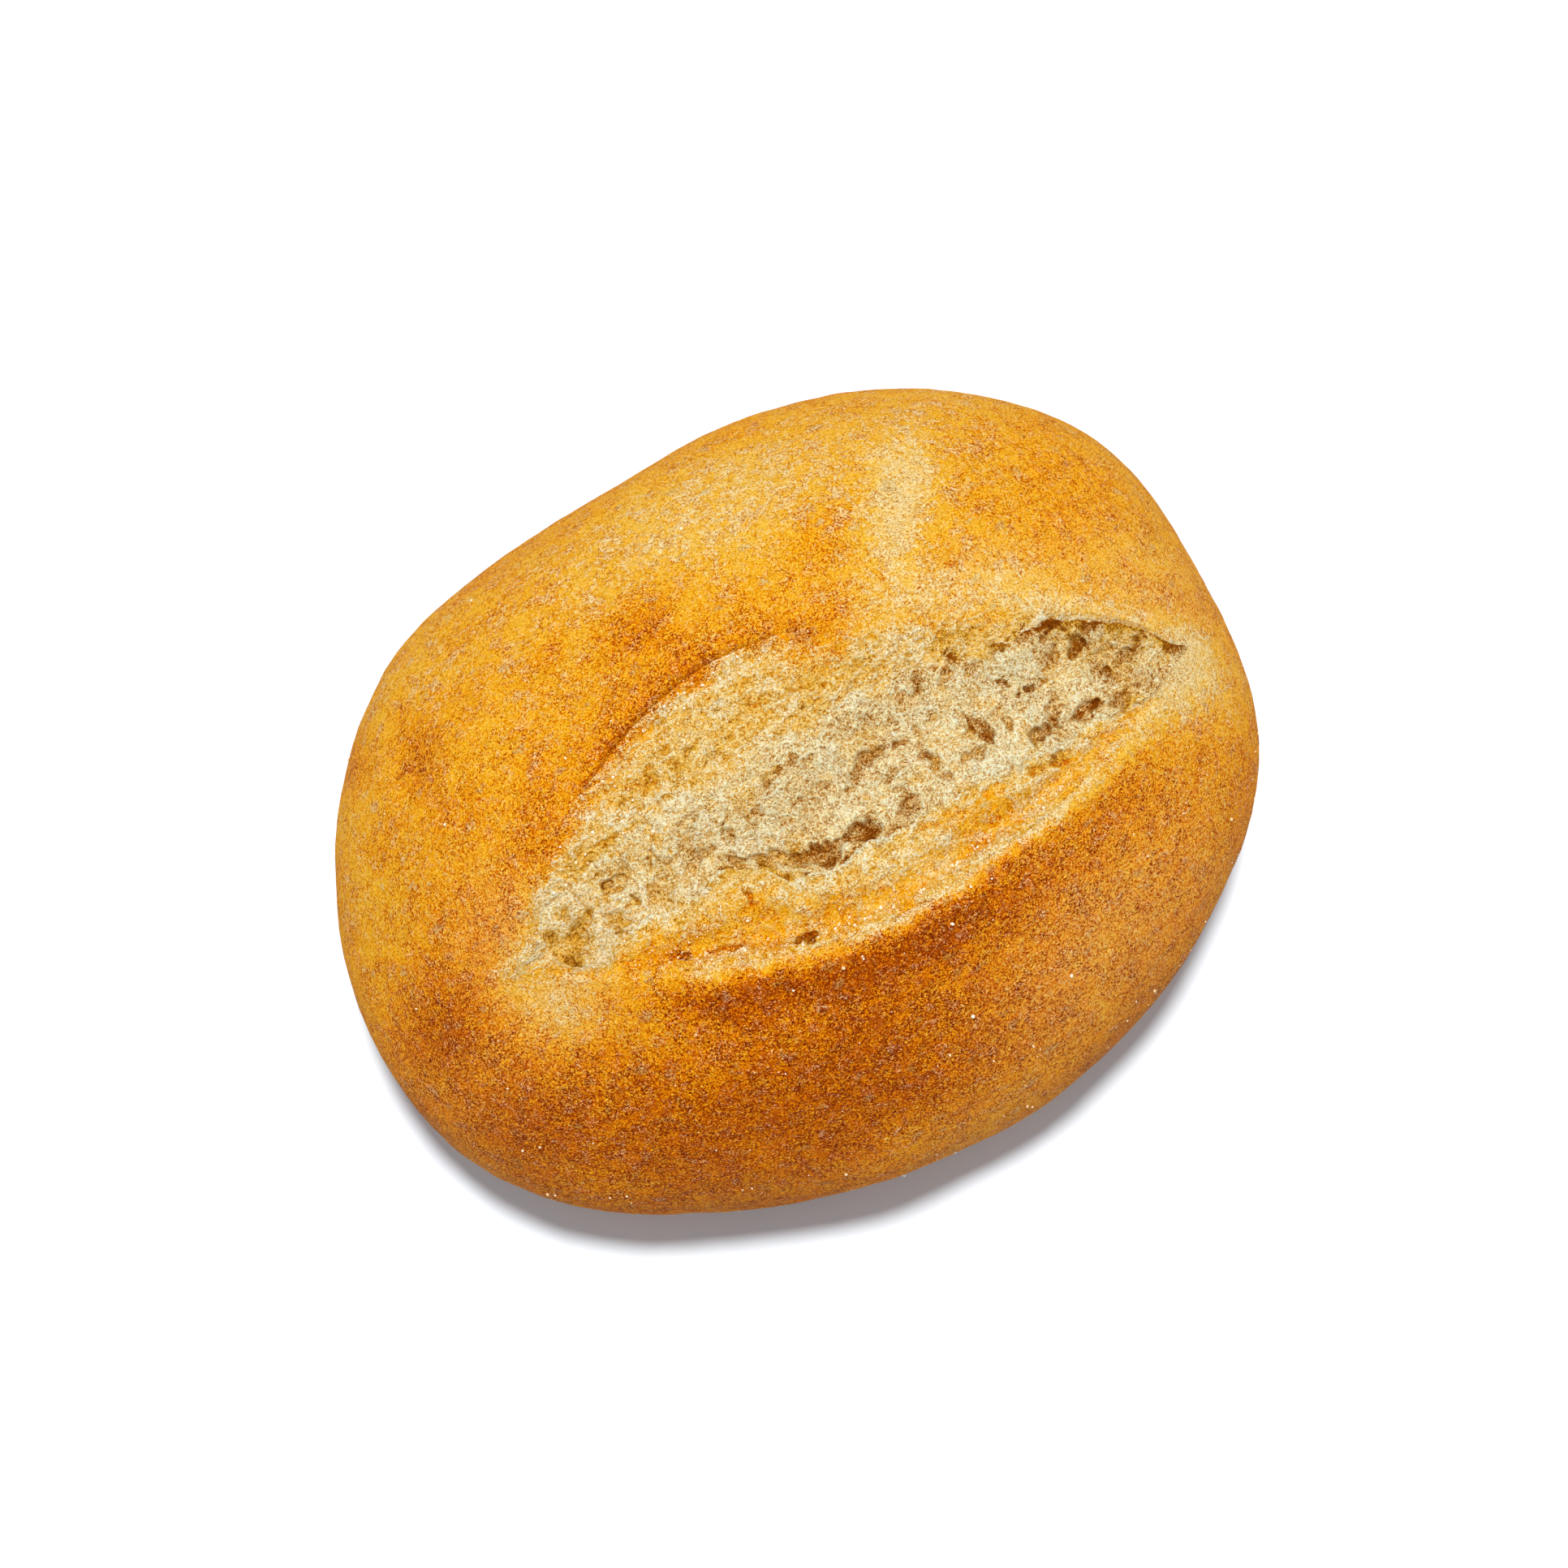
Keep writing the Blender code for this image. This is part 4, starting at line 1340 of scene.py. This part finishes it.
@dataclass(frozen=True)
class Shelf:
    """A stretched shelf of the split: skin from under a lip to the torn edge, which overhangs the crumb."""

    side: Side
    rows: int
    columns: int = 640
    sharp: float = 85.0
    # Share of the split's length that stays free at each tip
    end_gap: float = 0.006
    # Degrees round the torn edge, and the underside's rows as shares of the way to it
    edge_turns: tuple = (35, 80, 125, 170)
    back_rows: tuple = (0.85, 0.5, 0.0)
    tuck: float = 1.0
    tuck_rise: float = 0.9
    thickness: float = 1.5
    edge_radius: float = 0.22
    # Place along and across, reach along and across, turn in degrees, depth
    holes: tuple = (
        (-19.4, -10.5, 0.9, 0.5, -5, 0.9),
        (-7.4, -15.5, 1.6, 0.6, -12, 1.1),
        (-15.0, -12.3, 2.4, 0.22, -14, 0.5),
        (-10.4, -8.8, 0.35, 1.0, -10, 0.6),
        (26.0, -11.6, 1.6, 0.8, 5, 0.6),
        (22.8, -11.6, 0.9, 0.6, 0, 0.5),
        (-17.0, 0.8, 0.9, 0.25, -35, 0.5),
        (4.6, 5.8, 0.5, 0.2, 0, 0.4),
        (6.4, 7.2, 0.4, 0.2, 0, 0.4),
        (-8.6, 7.8, 0.6, 0.3, 30, 0.5),
        (16.5, 4.7, 0.3, 0.3, 0, 0.5),
        (16.7, -14.1, 0.3, 0.3, 0, 0.5),
    )

    def lip(self, x: Array) -> Array:
        """The line of this shelf's lip."""
        return SPLIT.upper_lip(x) if self.side is Side.UPPER else SPLIT.lower_lip(x)

    def torn(self, x: Array) -> Array:
        """The line where this shelf breaks off."""
        return SPLIT.tear_top(x) if self.side is Side.UPPER else SPLIT.tear_foot(x)

    def height(self, x: Array, y: Array) -> Array:
        """Height of this shelf over the plain dome."""
        return SPLIT.upper_shelf(x, y) if self.side is Side.UPPER else SPLIT.lower_shelf(x, y)

    def build(self) -> tuple[bpy.types.Object, Array]:
        """Makes the shelf.

        Its ring of points runs over the top from the lip to the torn edge, round the edge in half a circle,
        and back underneath. Where the lip fades, its skin takes on the crust's own look at the lip's line.

        Returns:
            The piece, and the points of its top.
        """
        way = self.side.value
        share = np.linspace(self.end_gap, 1 - self.end_gap, self.columns)[None, :]
        x = SPLIT.left_tip[0] + share * (SPLIT.right_tip[0] - SPLIT.left_tip[0])
        full = SPLIT.full(x, SPLIT.upper_span if self.side is Side.UPPER else SPLIT.lower_span)
        tuck = self.tuck * SPLIT.tapered(x, 20, 20)
        across = np.linspace(0, 1, self.rows)[:, None]
        outer = self.lip(x) + way * tuck
        torn = self.torn(x)
        y = outer + across * (torn - outer)
        x = x + 0 * y
        inside = way * (self.lip(x) - y)
        height = self.height(x, y) - 0.12 * smooth(-0.3, -self.tuck, inside)
        gone = np.clip(inside / np.maximum(way * (self.lip(x) - torn), 0.3), 0, 1)
        fade = np.maximum(full, smooth(0, 0.6, gone))
        height = height + self.tuck_rise * full * falloff(np.maximum(inside, 0), 1.2)
        fine, fields = self.texture(x, y, gone, fade, full)
        top = FORM.lifted(FORM.dome(x, y), height + fine)

        turns = np.radians(self.edge_turns)[:, None]
        radius = self.edge_radius * SPLIT.opening(x[:1])
        edge_y = torn - way * radius * np.sin(turns)
        edge_lift = (height + fine)[-1:] - radius * (1 - np.cos(turns))
        edge_x = x[:1] + 0 * edge_y
        edge = FORM.lifted(FORM.dome(edge_x, edge_y), edge_lift)
        back = np.array(self.back_rows)[:, None]
        back_y = outer + back * (torn - outer)
        back_x = x[:1] + 0 * back_y
        under = FORM.lifted(FORM.dome(back_x, back_y), self.height(back_x, back_y) - self.thickness)
        grid = placed(np.concatenate((top, edge, under)))
        rest = {
            key: np.concatenate((value, np.repeat(value[-1:], len(turns) + len(back), axis=0)))
            for key, value in fields.items()
        }
        return tube_piece(f"{self.side.name.lower()}_shelf", grid, rest, self.sharp), top

    def texture(
        self, x: Array, y: Array, gone: Array, fade: Array, full: Array
    ) -> tuple[Array, dict[str, Array]]:
        """The stretched skin's strands, holes and fraying, and the attributes of its finish.

        Args:
            x: Places along the roll.
            y: Places across it.
            gone: Share of the way from the lip to the torn edge.
            fade: 0 where the shelf runs into the plain crust, and 1 inside.
            full: 1 where the lip stands up from the shelf, and 0 where it has faded.

        Returns:
            Fine heights, and numbers by attribute name.
        """
        upper = self.side is Side.UPPER
        flat = plan(x, y)
        coarse = strands(x, y, 3.4, 1.2, 71)
        middle = strands(x, y, 1.3, 0.5, 73)
        small = strands(x, y, 0.55, 0.26, 75)
        ridged = 0.34 * coarse + 0.36 * middle + 0.3 * small
        cloudy = hills(flat, 3.5, 79, 3)
        pitted, _ = bubbles(x, y, 0.8, (0.12, 0.4), 76, 0.55)
        ragged = x + 0.35 * hills(flat, 0.9, 77, 2), y + 0.35 * hills(flat, 0.9, 78, 2)
        hole = sum(depth * smooth(0.25, 0.6, bell(plan(*ragged), *spot)) for *spot, depth in self.holes)
        foam, foam_pale = FOAM.at(x, y)
        inside = self.side.value * (self.lip(x) - y)
        # Just under the upper lip the skin is browner and less creamy: partly browned skin, partly painted
        # shade under the lip
        near = full * falloff(inside, 1.5)
        trough = np.zeros_like(gone)
        if upper:
            frayed = smooth(0.8, 1, gone + 0.1 * cloudy) * SPLIT.softness(x)
            rough = 0.5 + 0.5 * smooth(0, 0.6, gone)
            cream = 0.44 + 0.14 * smooth(0.1, 0.9, gone)
            golden = 0.38 - 0.1 * smooth(0, 0.7, gone) + 0.2 * near
            cream = cream * (1 - 0.7 * near)
        else:
            frayed = np.zeros_like(gone)
            rough = 0.4 + 0.5 * smooth(0.75, 1, gone)
            # The lower shelf's trough is less creamy: painted shade in the trough
            trough = smooth(0.12, 0.25, gone + 0.05 * cloudy) * smooth(0.58, 0.46, gone + 0.05 * cloudy)
            cream = 0.21 + 0.24 * smooth(0.6, 0.95, gone)
            cream = cream + (0.07 - cream) * trough + 0.12 * BROWNING.crest(x, y)
            golden = 0.33 - 0.05 * smooth(0.4, 0.9, gone) - 0.08 * smooth(0, 20, x) * trough
        cream = cream * (0.45 + 0.55 * smooth(-33, -26, x))
        edge = smooth(0.7, 0, self.side.value * (y - self.torn(x))) * smooth(-34, -28, x)
        cream = cream + (0.8 - cream) * 0.7 * edge
        fine = fade * ((0.1 + 0.24 * rough) * ridged + 0.12 * cloudy - 0.6 * rough * pitted - hole)
        fine = fine + frayed * fade * 0.45 * foam
        cloud = (0.1 + 0.1 * smooth(-10, 0, x)) * cloudy
        share = fade * np.clip(cream + (0.17 * ridged + cloud) * (1 - 0.7 * trough), 0, 1)
        share = share + (1 - share) * frayed * fade
        dots = smooth(0.65, 0.8, hills(flat, 0.7, 103, 2))
        # Holes and small pits lower the paleness: painted shade in them
        pale = 0.6 + 0.32 * ridged + 0.1 * cloudy - 0.22 * pitted / 0.4 + 0.15 * edge - 0.35 * dots
        pale = pale + (foam_pale - pale) * frayed - 0.6 * hole / 0.8
        crust = BROWNING.at(FORM.dome(x, y))
        # Holes and small pits are browner: painted shade in them
        spots = 0.45 * hole / 0.8 + 0.14 * pitted / 0.4
        browning = crust + (golden - 0.08 * ridged - 0.08 * cloudy + spots - crust) * fade
        floury = BROWNING.floury(FORM.dome(x, y)) * (1 - fade)
        return fine, {"browning": browning, "crumb": share, "pale": pale, "floury": floury}


@dataclass(frozen=True)
class TornCrumb:
    """The torn crumb between the shelves: foam whose bubbles were pulled open, with thin walls between."""

    columns: int = 780
    rows: int = 120
    sharp: float = 180.0
    end_gap: float = 0.012
    margin: float = 1.3
    # Start, full, fade and end of the painted shade on the crumb along the torn foot and under the torn top
    foot_shade: tuple = (-14, -9, 6, 12)
    top_shade: tuple = (12, 26, 44, 46)
    thickness: float = 2.5

    def build(self) -> bpy.types.Object:
        """Makes the crumb.

        Its ring of points runs over the top, from under the lower shelf to under the upper one, and back
        below.

        Returns:
            The piece.
        """
        share = np.linspace(self.end_gap, 1 - self.end_gap, self.columns)[None, :]
        x = SPLIT.left_tip[0] + share * (SPLIT.right_tip[0] - SPLIT.left_tip[0])
        top_edge, foot_edge = SPLIT.tear_top(x), SPLIT.tear_foot(x)
        above = np.minimum(self.margin, 0.6 * (SPLIT.upper_lip(x) - top_edge))
        below = np.minimum(self.margin, 0.6 * (foot_edge - SPLIT.lower_lip(x)))
        across = np.linspace(0, 1, self.rows)[:, None]
        y = (foot_edge - below) + across * (top_edge + above - foot_edge + below)
        x = x + 0 * y
        foam, pale = FOAM.at(x, y)
        edge = np.minimum(np.abs(top_edge - y), np.abs(y - foot_edge))
        foam = foam * (0.3 + 0.7 * smooth(0, 1.3, edge))
        # Painted shade on the crumb next to the torn foot and under the torn top, broken up by hills
        broken = 0.8 + 0.6 * hills(plan(x, y), 1.2, 109, 2)
        shade_at_foot = falloff(np.maximum(y - foot_edge, 0), 1.1) * SPLIT.full(x, self.foot_shade)
        shade_at_top = falloff(np.maximum(top_edge - y, 0), 0.9) * SPLIT.full(x, self.top_shade)
        pale = pale - 0.5 * np.clip(broken, 0, 1) * np.maximum(shade_at_foot, shade_at_top)
        lift = SPLIT.tear_floor(x, y) + SPLIT.opening(x) * (0.9 + foam)
        lift = np.where(y > top_edge, np.minimum(lift, SPLIT.upper_shelf(x, y) - 0.15), lift)
        lift = np.where(y < foot_edge, np.minimum(lift, SPLIT.lower_shelf(x, y) - 0.35), lift)
        top = FORM.lifted(FORM.dome(x, y), lift)
        back_y = np.concatenate((y[-1:], y[:1]))
        back_x = x[:2]
        under = FORM.lifted(FORM.dome(back_x, back_y), SPLIT.tear_floor(back_x, back_y) - self.thickness)
        grid = placed(np.concatenate((top, under)))
        golden = smooth(0.05, 0.5, hills(plan(x, y), 3, 69, 2)) * (1 - 0.55 * smooth(0, 2.5, edge))
        golden = np.clip(0.85 * golden + 0.25 * smooth(-3, -12, x) + 0.4 * smooth(-14, -26, x), 0, 1)
        fields = {
            "browning": np.full_like(x, 0.26),
            "crumb": 1 - 0.5 * golden,
            "pale": pale,
            "floury": np.zeros_like(x),
        }
        rest = {key: np.concatenate((value, value[-1:], value[:1])) for key, value in fields.items()}
        return tube_piece("torn_crumb", grid, rest, self.sharp)


@dataclass(frozen=True)
class FlourGrains:
    """White grains of flour and semolina on the crust, most of them on its dark side and at the lips."""

    count: int = 620
    radii: tuple = (0.07, 0.2)
    seed: int = 5
    # How far a grain's middle stands above the surface, as a share of its size
    raised: float = 0.35

    def build(self, crust: Array, upper: Array, lower: Array) -> bpy.types.Object:
        """Makes the grains: octahedra rounded to an even size, each squeezed, turned and partly sunk.

        Args:
            crust: Grid of the crust's points, in the form's own plan.
            upper: The same for the upper shelf's top.
            lower: The same for the lower shelf's top.

        Returns:
            The joined piece.
        """
        rng = np.random.default_rng(self.seed)
        parts = []
        for surface, chances in ((crust, self.on_crust), (upper, self.on_shelf), (lower, self.on_shelf)):
            normal = np.cross(np.gradient(surface, axis=1), np.gradient(surface, axis=0)).reshape(-1, 3)
            points = surface.reshape(-1, 3)
            parts.append((points, normal, chances(points) * np.linalg.norm(normal, axis=-1)))
        spots, normal, likely = (np.concatenate(group) for group in zip(*parts))
        picked = rng.choice(len(spots), self.count, p=likely / likely.sum())
        way = normal[picked]
        way = way / np.linalg.norm(way, axis=-1, keepdims=True)
        way = way * np.sign(np.sum(way * FORM.outward(spots[picked]), axis=-1, keepdims=True))
        ball, faces = octahedron()
        size = self.radii[0] + (self.radii[1] - self.radii[0]) * rng.random(self.count) ** 2.5
        stretch = 0.6 + 0.8 * rng.random((self.count, 1, 3))
        turned = ball[None] * stretch @ turns_at_random(rng, self.count)
        shapes = spots[picked][:, None] + size[:, None, None] * (turned + self.raised * way[:, None])
        own = np.repeat(rng.random(self.count), len(ball))
        corners = (faces[None] + (np.arange(self.count) * len(ball))[:, None, None]).reshape(-1, 3)
        return piece_of("flour_grains", placed(shapes).reshape(-1, 3), (corners,), {"own": own})

    @staticmethod
    def on_crust(points: Array) -> Array:
        """How likely grains lie on the crust: on the dark side, and above the upper lip."""
        x, y, z = points.T
        likely = 0.015 + 0.08 * smooth(-8, -22, y)
        likely = painted(likely, points, ((-18, -24, 20, 6, -8, 0.2), (-18, 12, 9, 5, 30, 0.5)))
        inside = (y < SPLIT.upper_lip(x) - 0.1) & (y > SPLIT.lower_lip(x) + 0.1) & (z > FORM.waist)
        return np.where(inside, 0, likely * smooth(4, 16, z))

    @staticmethod
    def on_shelf(points: Array) -> Array:
        """How likely grains lie on the shelves: in the first millimetres under each lip, and at the left."""
        x, y = points[:, 0], points[:, 1]
        upper = 6 * SPLIT.full(x, SPLIT.upper_span) * falloff(SPLIT.upper_lip(x) - y - 1, 1.6)
        lower = 9 * SPLIT.full(x, SPLIT.lower_span) * falloff(y - SPLIT.lower_lip(x) - 1, 1)
        left = 1.2 * smooth(-6, -16, x)
        return (upper + lower + left) * (x < 30)


def octahedron() -> tuple[Array, Array]:
    """A ball of 32 faces: an octahedron with each face cut in four, and its points moved out to radius 1."""
    corners = np.concatenate((np.eye(3), -np.eye(3)))
    faces = [(0, 1, 2), (1, 3, 2), (3, 4, 2), (4, 0, 2), (1, 0, 5), (3, 1, 5), (4, 3, 5), (0, 4, 5)]
    points = list(corners)
    middles: dict[tuple[int, int], int] = {}

    def middle(first: int, second: int) -> int:
        """Number of the point halfway between two others, made when it is first asked for."""
        key = (min(first, second), max(first, second))
        if key not in middles:
            half = points[first] + points[second]
            middles[key] = len(points)
            points.append(half / np.linalg.norm(half))
        return middles[key]

    cut = []
    for a, b, c in faces:
        ab, bc, ca = middle(a, b), middle(b, c), middle(c, a)
        cut += [(a, ab, ca), (ab, b, bc), (ca, bc, c), (ab, bc, ca)]
    return np.array(points), np.array(cut)


def turns_at_random(rng: np.random.Generator, count: int) -> Array:
    """Random turns as 3 by 3 matrices: the first axis is random, and the others are squared up to it."""
    first = rng.normal(size=(count, 3))
    first /= np.linalg.norm(first, axis=1, keepdims=True)
    second = np.cross(first, rng.normal(size=(count, 3)))
    second /= np.linalg.norm(second, axis=1, keepdims=True)
    return np.stack((first, second, np.cross(first, second)), axis=1)


@dataclass(frozen=True)
class Studio:
    """A white floor, a soft sun from behind the roll, an even sky, and a camera almost straight above."""

    azimuth: float = -29.6
    elevation: float = 82.0
    lens: float = 100.0
    sensor: float = 36.0
    distance: float = 489.2 * MM
    # In the form's own plan, in millimetres
    target: tuple = (0.8, 3.6, 18.5)
    floor_size: float = 6.0
    floor_colour: str = "#e1e7ec"
    fill: float = 0.48
    fill_colour: str = "#f4f9ff"
    sun: float = 3.3
    sun_angle: float = 6.5
    sun_elevation: float = 80.5
    sun_azimuth: float = 153.0

    def floor(self) -> None:
        """White paper sweep: matt, and only as lit."""
        mesh = bpy.data.meshes.new("floor")
        half = self.floor_size / 2
        corners = [(-half, -half, 0), (half, -half, 0), (half, half, 0), (-half, half, 0)]
        mesh.from_pydata(corners, [], [(0, 1, 2, 3)])
        floor = bpy.data.objects.new("floor", mesh)
        bpy.context.scene.collection.objects.link(floor)
        material = bpy.data.materials.new("white_paper")
        material.use_nodes = True
        shader = material.node_tree.nodes["Principled BSDF"]
        shader.inputs["Base Color"].default_value = linear(self.floor_colour)
        shader.inputs["Roughness"].default_value = 0.9
        shader.inputs["Specular IOR Level"].default_value = 0.0
        mesh.materials.append(material)

    def lights(self) -> None:
        """One wide sun from the far side, high up, and an even white sky."""
        world = bpy.data.worlds.new("sky")
        world.use_nodes = True
        background = world.node_tree.nodes["Background"]
        background.inputs["Color"].default_value = linear(self.fill_colour)
        background.inputs["Strength"].default_value = self.fill
        bpy.context.scene.world = world
        light = bpy.data.lights.new("window", "SUN")
        light.energy = self.sun
        light.angle = math.radians(self.sun_angle)
        lamp = bpy.data.objects.new("window", light)
        bpy.context.scene.collection.objects.link(lamp)
        away = direction(self.sun_azimuth, self.sun_elevation)
        lamp.rotation_euler = away.to_track_quat("Z", "Y").to_euler()

    def camera(self) -> None:
        """The photograph's own view."""
        camera = bpy.data.cameras.new("camera")
        camera.lens = self.lens
        camera.sensor_width = self.sensor
        eye = bpy.data.objects.new("camera", camera)
        bpy.context.scene.collection.objects.link(eye)
        away = direction(self.azimuth, self.elevation)
        eye.location = Vector(placed(np.array(self.target))) + self.distance * away
        eye.rotation_euler = away.to_track_quat("Z", "Y").to_euler()
        bpy.context.scene.camera = eye

    def build(self) -> None:
        """Sets up the whole studio."""
        self.floor()
        self.lights()
        self.camera()
        bpy.context.scene.view_settings.view_transform = "Standard"


def direction(azimuth: float, elevation: float) -> Vector:
    """The unit direction to a viewer or light: azimuth 0 is on the roll's -Y side, and 90 on its +X side."""
    turn, rise = math.radians(azimuth), math.radians(elevation)
    return Vector((math.sin(turn) * math.cos(rise), -math.cos(turn) * math.cos(rise), math.sin(rise)))


def report(piece: bpy.types.Object) -> None:
    """Logs a piece's name and its count of triangles."""
    LOG.info("%s: %d triangles", piece.name, sum(len(p.vertices) - 2 for p in piece.data.polygons))


def main() -> None:
    """Builds the roll's pieces and the studio."""
    logging.basicConfig(level=logging.INFO, format="%(name)s %(message)s")
    dough = WheatFinish().material()
    crust, surface = CrustBody().build()
    upper, upper_top = Shelf(Side.UPPER, rows=96).build()
    lower, lower_top = Shelf(Side.LOWER, rows=66).build()
    crumb = TornCrumb().build()
    for piece in (crust, upper, lower, crumb):
        piece.data.materials.append(dough)
        report(piece)
    grains = FlourGrains().build(surface, upper_top, lower_top)
    FlourFinish().dress(grains)
    report(grains)

    Studio().build()


if __name__ == "__main__":
    main()
